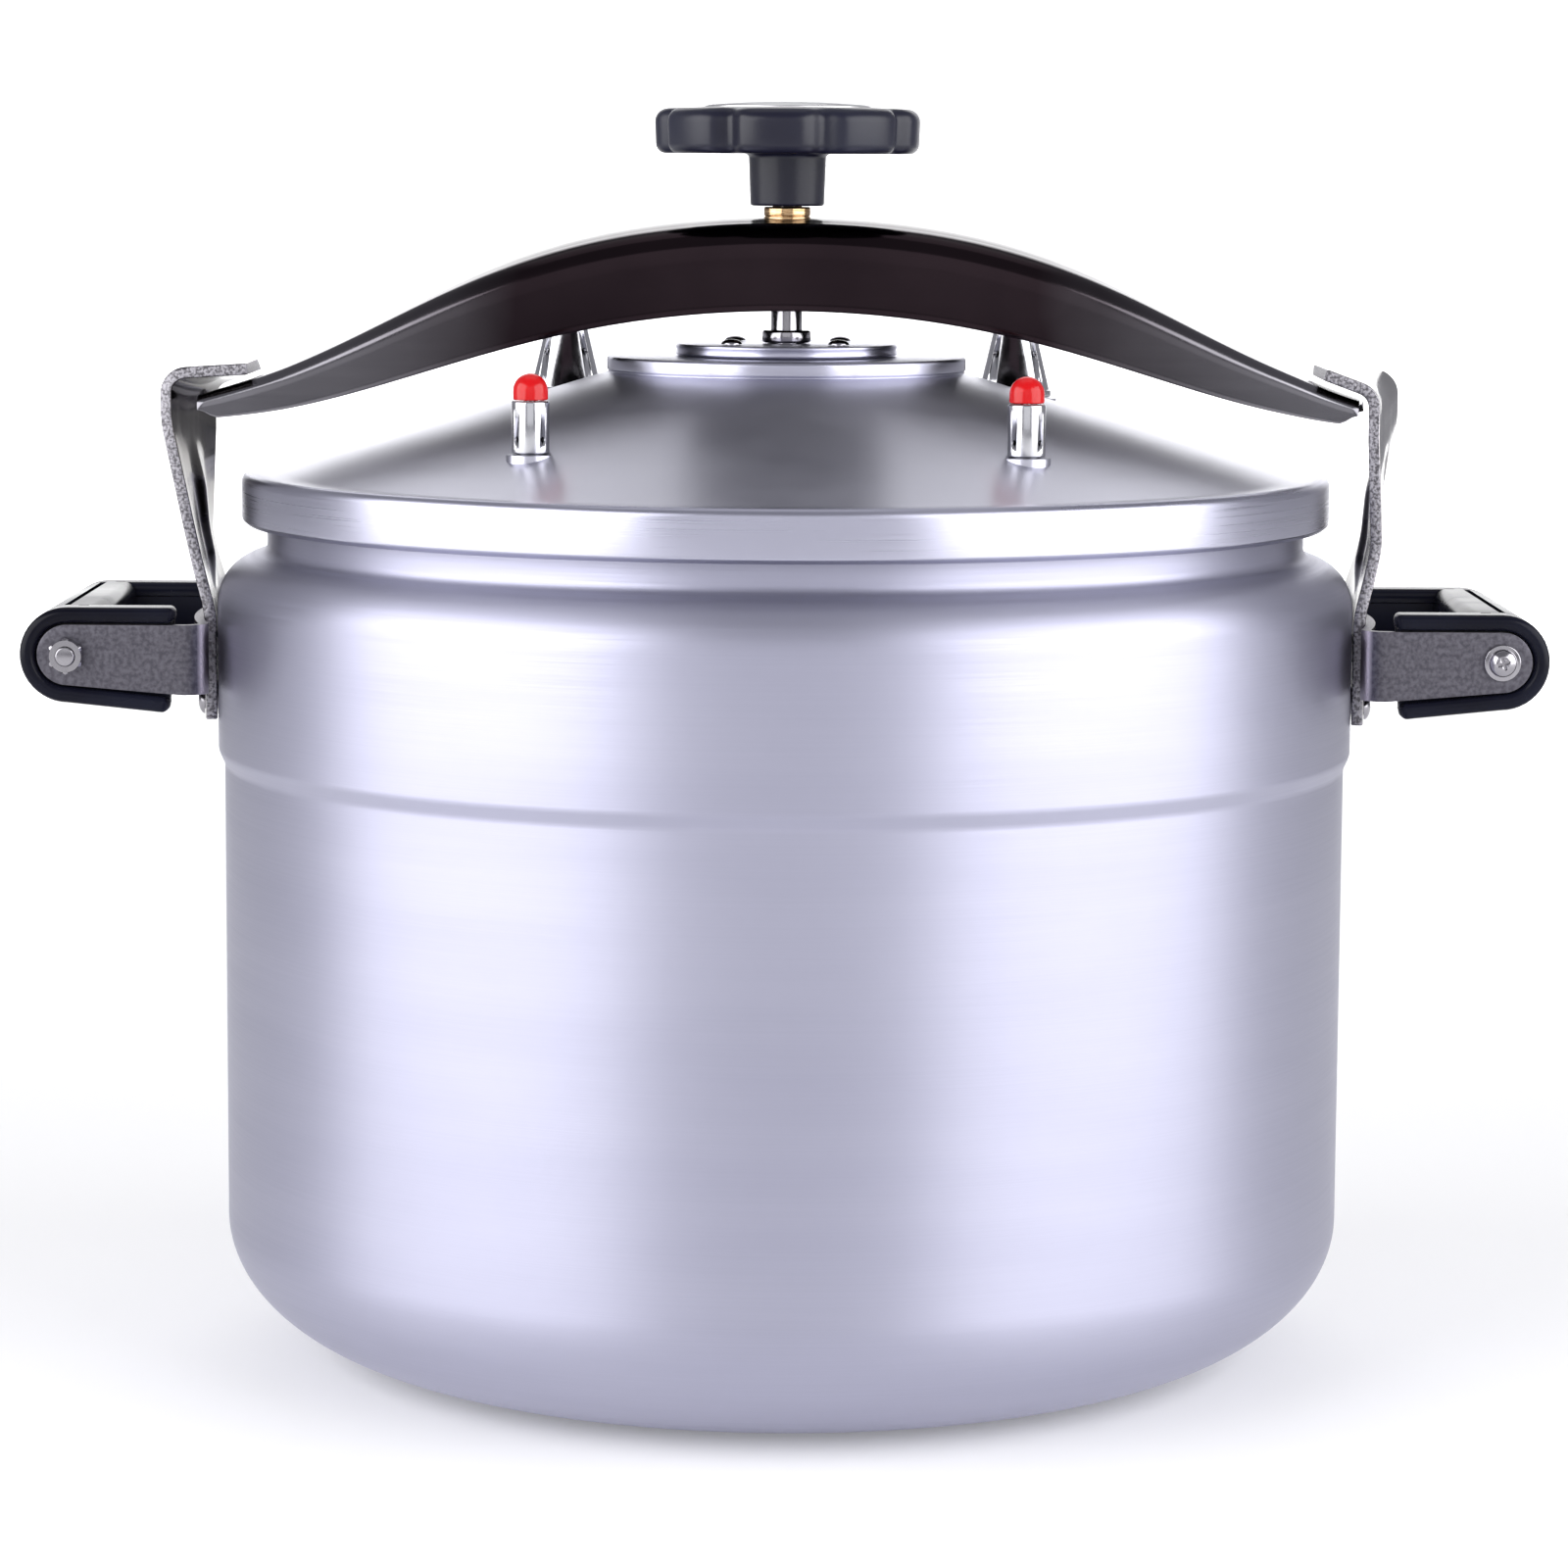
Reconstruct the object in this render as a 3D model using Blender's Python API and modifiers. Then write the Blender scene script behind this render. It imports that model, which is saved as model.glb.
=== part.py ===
"""Pressure canner: a spun aluminium pot whose lid is held down by an arched beam, a screw and two hooks.

Frame: metres, +Z up, +X to the right through the handles, origin on the floor at the pot's centre.
"""

import math

import bmesh
import bpy
from mathutils import Matrix, Vector
from mathutils.geometry import interpolate_bezier

# ---------------------------------------------------------------- driving sizes, in metres
GAP = 0.0003  # left between pieces that touch
RUNNING_GAP = 0.0003  # radial room of a shaft in its bore
BOLT_ROOM = 0.0004  # radial room of a fastener in its hole
CUT_PAST = 0.0020  # cutters run this far past what they cut
EDGE_BREAK = 0.0006  # chamfer on turned edges
MOUTH_BREAK = 0.0008  # chamfer on the pot's mouth and the lid's ring
TURNS_FINE = 40  # facets round the pot and the lid
TURNS_DISC = 32  # facets round the pressure plate, the hub and the cap
TURNS_SEAT = 20
TURNS_SMALL = 14  # facets round small turned pieces
TURNS_HOLE = 10
TURNS_PORT = 6

POT_RADIUS = 0.1800
POT_HEIGHT = 0.2760  # floor to mouth
POT_WALL = 0.0040
POT_BASE = 0.0050
BASE_CORNER_RUN = 0.0650
BASE_CORNER_RISE = 0.0450
BAND_PROUD = 0.0020  # the strengthening band stands out this far
BAND_TOP_DROP = 0.0400  # mouth to the top of the band
BAND_WIDTH = 0.0400
BAND_STEP = 0.0045
SHOULDER_RISE = 0.0210
NECK_INSET = 0.0160
LIP_FLARE = 0.0018
LIP_HEIGHT = 0.0040

LID_WALL = 0.0040
SKIRT_ROOM = 0.0022  # pot lip to the inside of the lid's skirt
SKIRT_WALL = 0.0040
SKIRT_DROP = 0.0080  # skirt's lower edge below the pot's mouth
GASKET_THICKNESS = 0.0030
GASKET_WIDTH = 0.0120
GASKET_RIB = 0.0032  # thickness of the rib that keeps the gasket in its channel
CHANNEL_ROOF = 0.0032
CONE_RISE = 0.0400  # pot's mouth to the top of the lid's cone
CONE_FOOT_INSET = 0.0220
CONE_FOOT_RISE = 0.0052
RIM_CORNER = 0.0040
HEM_ROUND = 0.0022
RING_RADIUS = 0.0575
RING_HEIGHT = 0.0050
HUB_THICKNESS = 0.0100
LID_TURN = math.radians(-1.3)  # how the lid happens to sit on the pot

SPINDLE_RADIUS = 0.0050
FOOT_RADIUS = 0.0080
FOOT_HEIGHT = 0.0032
FOOT_SOCKET_DEPTH = 0.0056
PLATE_RADIUS = 0.0355
PLATE_THICKNESS = 0.0037
PLATE_RIVET_CIRCLE = 0.0240
PLATE_RIVET_RADIUS = 0.0020
PLATE_RIVET_HEAD = 0.0034
PLATE_RIVET_HEAD_HEIGHT = 0.0016
PLATE_ROOM = 0.0013  # radial room of the screw in the pressure plate
COLLAR_RADIUS = 0.0078
COLLAR_HEIGHT = 0.0040

BEAM_CROWN_RISE = 0.0443  # lid's ring to the beam's highest line
BEAM_DROP = 0.0566  # that line, from the middle to the ends
BEAM_DEPTH_MIDDLE = 0.0294
BEAM_DEPTH_END = 0.0081
BEAM_SHEET = 0.0025
BEAM_HALF_WIDTH = 0.0220
BEAM_END_HALF_WIDTH = 0.0170
BEAM_END_REACH = 0.0025  # beam's end past the pot's band
BEAM_END_SLANT = 0.17  # the ends are cut on the slant, to face the turned hooks
BEAM_FILLET = 0.0090
BEAM_END_FILLET = 0.0042
BEAM_CAMBER = 0.0016
BEAM_END_CAMBER = 0.0005
BEAM_CROWN_TAIL = 0.0190  # height of the crown line's last handle above the end
BEAM_EDGE_TAIL = 0.0037  # the same on the lower edge
BEAM_END_LIFT = 0.0030  # lower edge turned up at the very end
BEAM_TAPER_START = 0.35  # share of the half length where the beam starts to narrow
BEAM_LINE_STEPS = 40

BUSH_RADIUS = 0.0075
BUSH_FLANGE_RADIUS = 0.0110
BUSH_FLANGE_HEIGHT = 0.0050
BUSH_PROUD = 0.0032  # above the beam

KNOB_RADIUS = 0.0425
KNOB_THICKNESS = 0.0147
KNOB_LOBES = 8
KNOB_LOBE_DEPTH = 0.0035
KNOB_LOBE_POWER = 1.6  # higher makes the finger hollows narrower
KNOB_EDGE = 0.0030
KNOB_HUB_RADIUS = 0.0123
KNOB_HUB_HEIGHT = 0.0165
KNOB_RECESS_RADIUS = 0.0272
KNOB_RECESS_DEPTH = 0.0080
KNOB_NUT_ACROSS = 0.0160
KNOB_NUT_HEIGHT = 0.0040
CAP_DOME = 0.0040
CAP_WALL = 0.0012

HOOK_THICKNESS = 0.0037
HOOK_BASE_HALF_WIDTH = 0.0250
HOOK_HALF_WIDTH = 0.0190
HOOK_FOOT_DROP = 0.0705  # pot's mouth to the hook's lower edge
CLAW_LENGTH = 0.0135  # claw's tip inside the beam's end
CLAW_ROOM = 0.0012  # beam to claw, at rest
CLAW_BEND = 0.0065
OPEN_EDGE_REACH = 0.0125  # plate outside the beam's end on the side where the beam swings in
STOP_EDGE_REACH = 0.0022  # the same on the side that stops the beam

BRACKET_SHEET = 0.0030
BRACKET_HALF_SPREAD = 0.0500  # pot's centre line to the middle of an arm
BRACKET_BEND = 0.0060
BRACKET_TOP_DROP = 0.0380
BRACKET_DEPTH = 0.0220
ARM_REACH = 0.0520  # pot's band to the end of an arm
ARM_TIP_RADIUS = 0.0095
WEB_SHARE, BEND_SHARE, ARM_SHARE = 0.45, 0.65, 0.75  # where the strip's web, bend and straight arm end
GRIP_RIM = 0.0055  # grip round the arm it holds
GRIP_END_RIM = 0.0055
GRIP_CHEEK = 0.0120
GRIP_PROUD = 0.0012  # rim outside the arm
GRIP_BAR = 0.0250
GRIP_INNER_REACH = 0.0090  # pot's band to the grip
GRIP_EDGE = 0.0030
ARM_ROOM = 0.0005  # grip's recess round the arm
HANDLE_BOLT_RADIUS = 0.0030
HANDLE_HEAD_RADIUS = 0.0058
HANDLE_HEAD_HEIGHT = 0.0034
HANDLE_NUT_ACROSS = 0.0100
HANDLE_BOLT_PAST = 0.0010  # bolt past its nut

MOUNT_RIVET_RADIUS = 0.0030
MOUNT_RIVET_HEAD = 0.0046
MOUNT_RIVET_HEAD_HEIGHT = 0.0022
MOUNT_RIVET_SPREAD = 0.0140  # from the centre line, along the band
MOUNT_RIVET_PITCH = 0.0110  # between the two rows
MOUNT_RIVET_DROP = 0.0430  # pot's mouth to the upper row

VALVE_SEAT_RIM = 0.0012
VALVE_SEAT_PROUD = 0.0004
SAFETY_CIRCLE_INSET = 0.0476  # lid's edge to the safety valves
SAFETY_ANGLE = math.radians(53.8)
SAFETY_RADIUS = 0.0057
SAFETY_HEIGHT = 0.0160
SAFETY_BORE = 0.0040
SAFETY_LIP = 0.0014
SAFETY_LIP_BORE = 0.0020
SAFETY_ORIFICE = 0.0015
SAFETY_FLOOR = 0.0030
SAFETY_STUD_RADIUS = 0.0040
SAFETY_STUD_PAST = 0.0015  # stud below its nut
SAFETY_PORT = 0.0010
SAFETY_PORT_RISE = 0.0015  # above the floor of the bore
PLUNGER_RADIUS = 0.0034
PLUNGER_HEIGHT = 0.0022
STEM_RADIUS = 0.0013
CAP_RADIUS = 0.0053
CAP_HEIGHT = 0.0080
SPRING_RADIUS = 0.0027
SPRING_WIRE = 0.0004
SPRING_COILS = 4
SPRING_STEPS = 8  # points a coil

WEIGHT_CIRCLE_OUTSET = 0.0349  # lid's ring to the limit weights
WEIGHT_ANGLE = math.radians(36.5)
WEIGHT_BASE_RADIUS = 0.0123
WEIGHT_TOP_RADIUS = 0.0066
WEIGHT_HEIGHT = 0.0240
WEIGHT_PORT = 0.0013
WEIGHT_PORT_HEIGHT = 0.0145
WEIGHT_ROOF = 0.0163  # top of the hollow that sits over the pipe
WEIGHT_FOOT = 0.0020
WEIGHT_ROOM = 0.0006  # weight round its pipe
WEIGHT_THROAT_HEIGHT = 0.0090
PIPE_RADIUS = 0.0040
PIPE_BORE = 0.0016
PIPE_NOSE = 0.0020  # height of the chamfer that seats the weight
PIPE_FLANGE_RADIUS = 0.0085
PIPE_FLANGE_HEIGHT = 0.0018
PIPE_STUD_PAST = 0.0010  # pipe below its nut and inside the screen
NUT_HEIGHT = 0.0045
NUT_ACROSS = 0.0130
SCREEN_RADIUS = 0.0052
SCREEN_HEIGHT = 0.0050
SCREEN_ROOM = 0.0008  # below the pipe's nut
SCREEN_PAST = 0.0028  # below the pipe's end
SCREEN_PORT = 0.0007

# ---------------------------------------------------------------- sizes that follow from them
BAND_RADIUS = POT_RADIUS + BAND_PROUD
BAND_TOP = POT_HEIGHT - BAND_TOP_DROP
BAND_BOTTOM = BAND_TOP - BAND_WIDTH
NECK_RADIUS = BAND_RADIUS - NECK_INSET
LIP_RADIUS = NECK_RADIUS + LIP_FLARE
SKIRT_INNER = LIP_RADIUS + SKIRT_ROOM
SKIRT_RADIUS = SKIRT_INNER + SKIRT_WALL
CHANNEL_TOP = POT_HEIGHT + GASKET_THICKNESS + 2 * GAP
LID_RIM_TOP = CHANNEL_TOP + CHANNEL_ROOF
CONE_TOP = POT_HEIGHT + CONE_RISE
RING_TOP = CONE_TOP + RING_HEIGHT
PLATE_TOP = RING_TOP + GAP + PLATE_THICKNESS
COLLAR_TOP = PLATE_TOP + GAP + COLLAR_HEIGHT
BEAM_CROWN = RING_TOP + BEAM_CROWN_RISE
BEAM_END = BAND_RADIUS + BEAM_END_REACH
BUSH_TOP = BEAM_CROWN + BUSH_PROUD
KNOB_BOTTOM = BUSH_TOP + GAP
KNOB_UNDERSIDE = KNOB_BOTTOM + KNOB_HUB_HEIGHT
KNOB_TOP = KNOB_UNDERSIDE + KNOB_THICKNESS
KNOB_FLOOR = KNOB_TOP - KNOB_RECESS_DEPTH
BRACKET_TOP = POT_HEIGHT - BRACKET_TOP_DROP
BRACKET_BOTTOM = BRACKET_TOP - BRACKET_DEPTH
BRACKET_RADIUS = BAND_RADIUS + 2 * GAP + HOOK_THICKNESS + BRACKET_SHEET / 2
ARM_TIP = BAND_RADIUS + ARM_REACH
WEB_ANGLE = math.asin((BRACKET_HALF_SPREAD - BRACKET_BEND) / BRACKET_RADIUS)
ARM_START = BRACKET_RADIUS * math.cos(WEB_ANGLE) + BRACKET_BEND
HANDLE_BOLT_X = ARM_TIP - ARM_TIP_RADIUS
HANDLE_BOLT_Z = BRACKET_TOP - ARM_TIP_RADIUS
SAFETY_CIRCLE = SKIRT_RADIUS - SAFETY_CIRCLE_INSET
WEIGHT_CIRCLE = RING_RADIUS + WEIGHT_CIRCLE_OUTSET


# ---------------------------------------------------------------- scene, materials and shapes
def empty_scene():
    for old in list(bpy.data.objects):
        bpy.data.objects.remove(old, do_unlink=True)


def collection(name, hidden=False):
    made = bpy.data.collections.new(name)
    made.hide_render = hidden
    bpy.context.scene.collection.children.link(made)
    return made


def material(name, colour, metallic, roughness):
    made = bpy.data.materials.new(name)
    made.use_nodes = True
    shader = made.node_tree.nodes["Principled BSDF"]
    shader.inputs["Base Color"].default_value = (*colour, 1.0)
    shader.inputs["Metallic"].default_value = metallic
    shader.inputs["Roughness"].default_value = roughness
    made.diffuse_color = (*colour, 1.0)
    return made


empty_scene()
PARTS = collection("pressure_canner")
CUTTERS = collection("cutters", hidden=True)

ALUMINIUM = material("satin_aluminium", (0.66, 0.66, 0.72), 1.0, 0.32)
LID_ALUMINIUM = material("smooth_aluminium", (0.60, 0.60, 0.64), 1.0, 0.25)
POLISHED = material("polished_steel", (0.50, 0.50, 0.54), 1.0, 0.10)
DARK_CHROME = material("dark_chrome", (0.10, 0.08, 0.09), 1.0, 0.12)
PLATE_STEEL = material("matte_plate_steel", (0.33, 0.33, 0.36), 1.0, 0.45)
CHROME = material("chrome", (0.75, 0.75, 0.78), 1.0, 0.06)
BRASS = material("brass", (0.80, 0.58, 0.28), 1.0, 0.20)
KNOB_PLASTIC = material("blue_black_plastic", (0.020, 0.022, 0.040), 0.0, 0.40)
BAKELITE = material("black_bakelite", (0.010, 0.010, 0.018), 0.0, 0.15)
RED_PLASTIC = material("red_plastic", (0.80, 0.02, 0.02), 0.0, 0.30)
RUBBER = material("gasket_rubber", (0.55, 0.55, 0.53), 0.0, 0.60)
SPRING_STEEL = material("spring_steel", (0.55, 0.55, 0.55), 1.0, 0.25)


def add_object(name, mesh, finish, place=None):
    """Links a mesh as a part, or as a hidden cutter when it has no finish."""
    made = bpy.data.objects.new(name, mesh)
    if place is not None:
        made.matrix_world = place
    if finish is None:
        CUTTERS.objects.link(made)
        made.hide_render = True
        made.display_type = "WIRE"
    else:
        mesh.materials.append(finish)
        PARTS.objects.link(made)
    return made


def mesh_from(name, shape):
    mesh = bpy.data.meshes.new(name)
    shape.to_mesh(mesh)
    shape.free()
    mesh.shade_smooth()
    mesh.set_sharp_from_angle(angle=math.radians(35))
    return mesh


def turned(name, profile, finish, place=None, turns=TURNS_SMALL, closed=False):
    """A profile of (radius, height) points, run down its outer side, turned about Z."""
    shape = bmesh.new()
    points = [shape.verts.new((radius, 0.0, height)) for radius, height in profile]
    for first, second in zip(points, points[1:]):
        shape.edges.new((first, second))
    if closed:
        shape.edges.new((points[-1], points[0]))
    made = add_object(name, mesh_from(name, shape), finish, place)
    screw = made.modifiers.new("turn", "SCREW")
    screw.axis = "Z"
    screw.angle = math.tau
    screw.steps = turns
    screw.render_steps = turns
    screw.use_merge_vertices = True
    screw.merge_threshold = 0.00001
    screw.use_smooth_shade = True
    return made


def rod(name, radius, low, high, finish=None, place=None, turns=TURNS_SMALL):
    """A plain cylinder from one height to another."""
    shape = bmesh.new()
    bmesh.ops.create_cone(shape, cap_ends=True, segments=turns, radius1=radius, radius2=radius,
                          depth=high - low, matrix=Matrix.Translation((0, 0, (high + low) / 2)))
    return add_object(name, mesh_from(name, shape), finish, place)


def block(name, low, high, finish=None, place=None):
    """A box between two corners."""
    shape = bmesh.new()
    bmesh.ops.create_cube(shape, size=1.0)
    low, high = Vector(low), Vector(high)
    for point in shape.verts:
        point.co = Vector([(high[i] + low[i]) / 2 + point.co[i] * (high[i] - low[i]) for i in range(3)])
    return add_object(name, mesh_from(name, shape), finish, place)


def cut(part, cutter):
    """Takes the cutter out of the part."""
    step = part.modifiers.new(cutter.name, "BOOLEAN")
    step.operation = "DIFFERENCE"
    step.object = cutter


def join(part, boss):
    """Makes the boss one solid with the part."""
    step = part.modifiers.new(boss.name, "BOOLEAN")
    step.operation = "UNION"
    step.object = boss


def soften(part, width, segments=2):
    bevel = part.modifiers.new("edges", "BEVEL")
    bevel.width = width
    bevel.segments = segments
    bevel.limit_method = "ANGLE"
    bevel.angle_limit = math.radians(40)


def sheet(name, along, across, point_at, thickness, finish, place=None):
    """A bent sheet: point_at(u, v) gives the middle of the sheet for u and v from -1 to 1."""
    shape = bmesh.new()
    bmesh.ops.create_grid(shape, x_segments=along, y_segments=across, size=1.0)
    for point in shape.verts:
        point.co = Vector(point_at(point.co.x, point.co.y))
    made = add_object(name, mesh_from(name, shape), finish, place)
    solid = made.modifiers.new("sheet", "SOLIDIFY")
    solid.thickness = thickness
    solid.offset = 0.0
    solid.use_even_offset = True
    return made


def slab(name, outline, low, high, finish=None, place=None):
    """A flat outline of (x, z) points, given thickness along Y from low to high."""
    curve = bpy.data.curves.new(name + "_outline", "CURVE")
    curve.dimensions = "2D"
    curve.fill_mode = "BOTH"
    curve.extrude = (high - low) / 2
    line = curve.splines.new("POLY")
    line.points.add(len(outline) - 1)
    for point, (x, z) in zip(line.points, outline):
        point.co = (x, z, 0.0, 1.0)
    line.use_cyclic_u = True
    guide = bpy.data.objects.new(name + "_guide", curve)
    PARTS.objects.link(guide)
    upright = Matrix.Translation((0, (high + low) / 2, 0)) @ Matrix.Rotation(math.pi / 2, 4, "X")
    return mesh_of_curve(name, guide, upright, finish, place)


def mesh_of_curve(name, guide, turn, finish, place):
    """Makes a curve a welded mesh and removes the curve."""
    bpy.context.view_layer.update()
    graph = bpy.context.evaluated_depsgraph_get()
    mesh = bpy.data.meshes.new_from_object(guide.evaluated_get(graph))
    bpy.data.objects.remove(guide, do_unlink=True)
    shape = bmesh.new()
    shape.from_mesh(mesh)
    bpy.data.meshes.remove(mesh)
    bmesh.ops.remove_doubles(shape, verts=shape.verts, dist=0.000002)
    bmesh.ops.dissolve_limit(shape, angle_limit=math.radians(1), verts=shape.verts, edges=shape.edges)
    bmesh.ops.transform(shape, matrix=turn, verts=shape.verts)
    bmesh.ops.recalc_face_normals(shape, faces=shape.faces)
    return add_object(name, mesh_from(name, shape), finish, place)


def arc(centre, radius_x, radius_z, start, end, steps):
    """Points of an elliptical arc, angles in degrees from +X."""
    angles = [math.radians(start + (end - start) * i / steps) for i in range(steps + 1)]
    return [(centre[0] + radius_x * math.cos(a), centre[1] + radius_z * math.sin(a)) for a in angles]


def bezier(start, start_handle, end_handle, end, steps):
    """Points of a cubic curve in a plane."""
    flat = [Vector((p[0], p[1], 0.0)) for p in (start, start_handle, end_handle, end)]
    return [(p.x, p.y) for p in interpolate_bezier(*flat, steps + 1)]


def rounded_path(corners, radii, steps):
    """A chain of straight lines whose inner corners are rounded, as points."""
    points = [Vector(corners[0])]
    for before, corner, after, radius in zip(corners, corners[1:], corners[2:], radii):
        corner = Vector(corner)
        back = (Vector(before) - corner).normalized()
        ahead = (Vector(after) - corner).normalized()
        half = math.acos(max(-1.0, min(1.0, back.dot(ahead)))) / 2
        reach = radius / math.tan(half)
        centre = corner + (back + ahead).normalized() * (radius / math.sin(half))
        first = (corner + back * reach) - centre
        turn = first.angle_signed((corner + ahead * reach) - centre)
        for i in range(steps + 1):
            points.append(centre + Matrix.Rotation(-turn * i / steps, 2) @ first)
    return points + [Vector(corners[-1])]


def along_path(points):
    """Returns a function from a share of the path's length, 0 to 1, to its place."""
    lengths = [0.0]
    for first, second in zip(points, points[1:]):
        lengths.append(lengths[-1] + (second - first).length)

    def at(share):
        goal = share * lengths[-1]
        for i in range(1, len(points)):
            if goal <= lengths[i] or i == len(points) - 1:
                part = (goal - lengths[i - 1]) / (lengths[i] - lengths[i - 1])
                return points[i - 1].lerp(points[i], min(part, 1.0))

    return at


def smooth_step(low, high, value):
    share = max(0.0, min(1.0, (value - low) / (high - low)))
    return share * share * (3 - 2 * share)


def mixed(first, second, share):
    return first + (second - first) * share


def at_height(z):
    return Matrix.Translation((0, 0, z))


def hex_nut(name, across, height, bore, low, finish, place):
    """A hexagon nut with a plain bore, its lower face at low."""
    shape = bmesh.new()
    corner = across / 2 / math.cos(math.radians(30))
    bmesh.ops.create_cone(shape, cap_ends=True, segments=6, radius1=corner, radius2=corner, depth=height,
                          matrix=Matrix.Translation((0, 0, low + height / 2)))
    made = add_object(name, mesh_from(name, shape), finish, place)
    cut(made, rod(name + "_bore", bore, low - CUT_PAST, low + height + CUT_PAST, place=place))
    return made


# ---------------------------------------------------------------- the pot
def pot_outside():
    """Outer side of the pot from the mouth down to the middle of the base."""
    lip = [(LIP_RADIUS - MOUTH_BREAK, POT_HEIGHT), (LIP_RADIUS, POT_HEIGHT - MOUTH_BREAK),
           (LIP_RADIUS, POT_HEIGHT - LIP_HEIGHT), (NECK_RADIUS, POT_HEIGHT - LIP_HEIGHT - LIP_FLARE)]
    shoulder_end = (NECK_RADIUS + 0.0025, BAND_TOP + SHOULDER_RISE)
    shoulder = bezier((BAND_RADIUS, BAND_TOP), (BAND_RADIUS, BAND_TOP + 0.0105),
                      (shoulder_end[0] + 0.0060, shoulder_end[1] - 0.0018), shoulder_end, 4)
    neck = [(NECK_RADIUS, shoulder_end[1] + 0.0030)]
    wall = [(BAND_RADIUS, BAND_BOTTOM), (POT_RADIUS, BAND_BOTTOM - BAND_STEP)]
    base = arc((POT_RADIUS - BASE_CORNER_RUN, BASE_CORNER_RISE), BASE_CORNER_RUN, BASE_CORNER_RISE, 0, -90, 6)
    return lip, neck + shoulder[::-1] + wall, base


def make_pot():
    lip, side, base = pot_outside()
    hollow = arc((POT_RADIUS - BASE_CORNER_RUN, BASE_CORNER_RISE), BASE_CORNER_RUN - POT_WALL,
                 BASE_CORNER_RISE - POT_BASE, -90, 0, 4)
    inner_side = [(radius - POT_WALL, height) for radius, height in side[::-1]]
    mouth_inner = NECK_RADIUS - POT_WALL
    mouth = [(mouth_inner, POT_HEIGHT - MOUTH_BREAK), (mouth_inner + MOUTH_BREAK, POT_HEIGHT)]
    profile = [(0.0, POT_BASE)] + hollow + inner_side + mouth + lip + side + base + [(0.0, 0.0)]
    pot = turned("pot_body", profile, ALUMINIUM, turns=TURNS_FINE)
    for side_place, label in SIDES:
        for angle, height, _ in mount_rivet_places():
            cut(pot, rivet_hole(f"{label}_pot_hole_{height:.3f}_{angle:.3f}", angle, height, side_place))


# ---------------------------------------------------------------- the lid and its gasket
def cone_foot():
    """Radius and height where the lid's cone meets its rim."""
    return SKIRT_INNER - CONE_FOOT_INSET, LID_RIM_TOP + CONE_FOOT_RISE


def cone_height(radius):
    """Height of the lid's outer cone at a distance from the middle."""
    foot_radius, foot_height = cone_foot()
    share = (radius - RING_RADIUS) / (foot_radius - RING_RADIUS)
    return mixed(CONE_TOP, foot_height, share)


def cone_wall():
    """The cone's wall measured straight down."""
    foot_radius, foot_height = cone_foot()
    slope = (CONE_TOP - foot_height) / (foot_radius - RING_RADIUS)
    return LID_WALL * math.sqrt(1 + slope * slope)


def lid_profile():
    foot = cone_foot()
    socket = FOOT_RADIUS + RUNNING_GAP
    skirt_bottom = POT_HEIGHT - SKIRT_DROP
    rib_outer = SKIRT_INNER - GASKET_WIDTH - 2 * GAP
    rib_inner = rib_outer - GASKET_RIB
    ring_foot = RING_RADIUS + 0.0020
    top = [(0.0, RING_TOP - FOOT_SOCKET_DEPTH), (socket, RING_TOP - FOOT_SOCKET_DEPTH), (socket, RING_TOP),
           (RING_RADIUS - MOUTH_BREAK, RING_TOP), (RING_RADIUS, RING_TOP - MOUTH_BREAK),
           (RING_RADIUS, CONE_TOP + MOUTH_BREAK), (ring_foot, cone_height(ring_foot)), foot]
    rim_end = (SKIRT_INNER - 0.0020, LID_RIM_TOP + 0.0014)
    rim = bezier((foot[0] + 0.0060, foot[1] - 0.0030), (SKIRT_INNER - 0.0120, LID_RIM_TOP - 0.0004),
                 (SKIRT_INNER - 0.0060, LID_RIM_TOP + 0.0016), rim_end, 2)
    edge = arc((SKIRT_RADIUS - RIM_CORNER, LID_RIM_TOP - 0.65 * RIM_CORNER), RIM_CORNER, RIM_CORNER, 80, 0, 2)
    hem = [(SKIRT_RADIUS, skirt_bottom + HEM_ROUND), (SKIRT_RADIUS - 0.7 * HEM_ROUND, skirt_bottom),
           (SKIRT_INNER + GAP, skirt_bottom), (SKIRT_INNER, skirt_bottom + GAP)]
    channel = [(SKIRT_INNER, CHANNEL_TOP), (rib_outer, CHANNEL_TOP), (rib_outer, POT_HEIGHT),
               (rib_inner, POT_HEIGHT), (rib_inner, CHANNEL_TOP + 0.0010)]
    inside = [(foot[0], foot[1] - cone_wall()), (RING_RADIUS, CONE_TOP - cone_wall()),
              (RING_RADIUS - 0.0030, RING_TOP - HUB_THICKNESS), (0.0, RING_TOP - HUB_THICKNESS)]
    return top + rim + edge + hem + channel + inside


def boss_bottom(circle, seat_radius):
    """Lowest face of a valve boss, under the lid, at its distance from the middle."""
    return cone_height(circle + seat_radius + VALVE_SEAT_RIM) - cone_wall() - 0.0002


def seat_height(circle):
    return cone_height(circle) + VALVE_SEAT_PROUD


def valve_place(circle, angle, front, right):
    """Where a valve stands on the lid: its seat, for one of the four quarters."""
    x = circle * math.cos(angle) * (1 if right else -1)
    y = circle * math.sin(angle) * (-1 if front else 1)
    spot = Matrix.Rotation(LID_TURN, 2) @ Vector((x, y))
    return Matrix.Translation((spot.x, spot.y, seat_height(circle)))


def plate_rivet_places():
    for i in range(4):
        angle = math.radians(45 + 90 * i) + LID_TURN
        yield i + 1, Matrix.Rotation(angle, 4, "Z") @ Matrix.Translation((PLATE_RIVET_CIRCLE, 0, 0))


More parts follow.
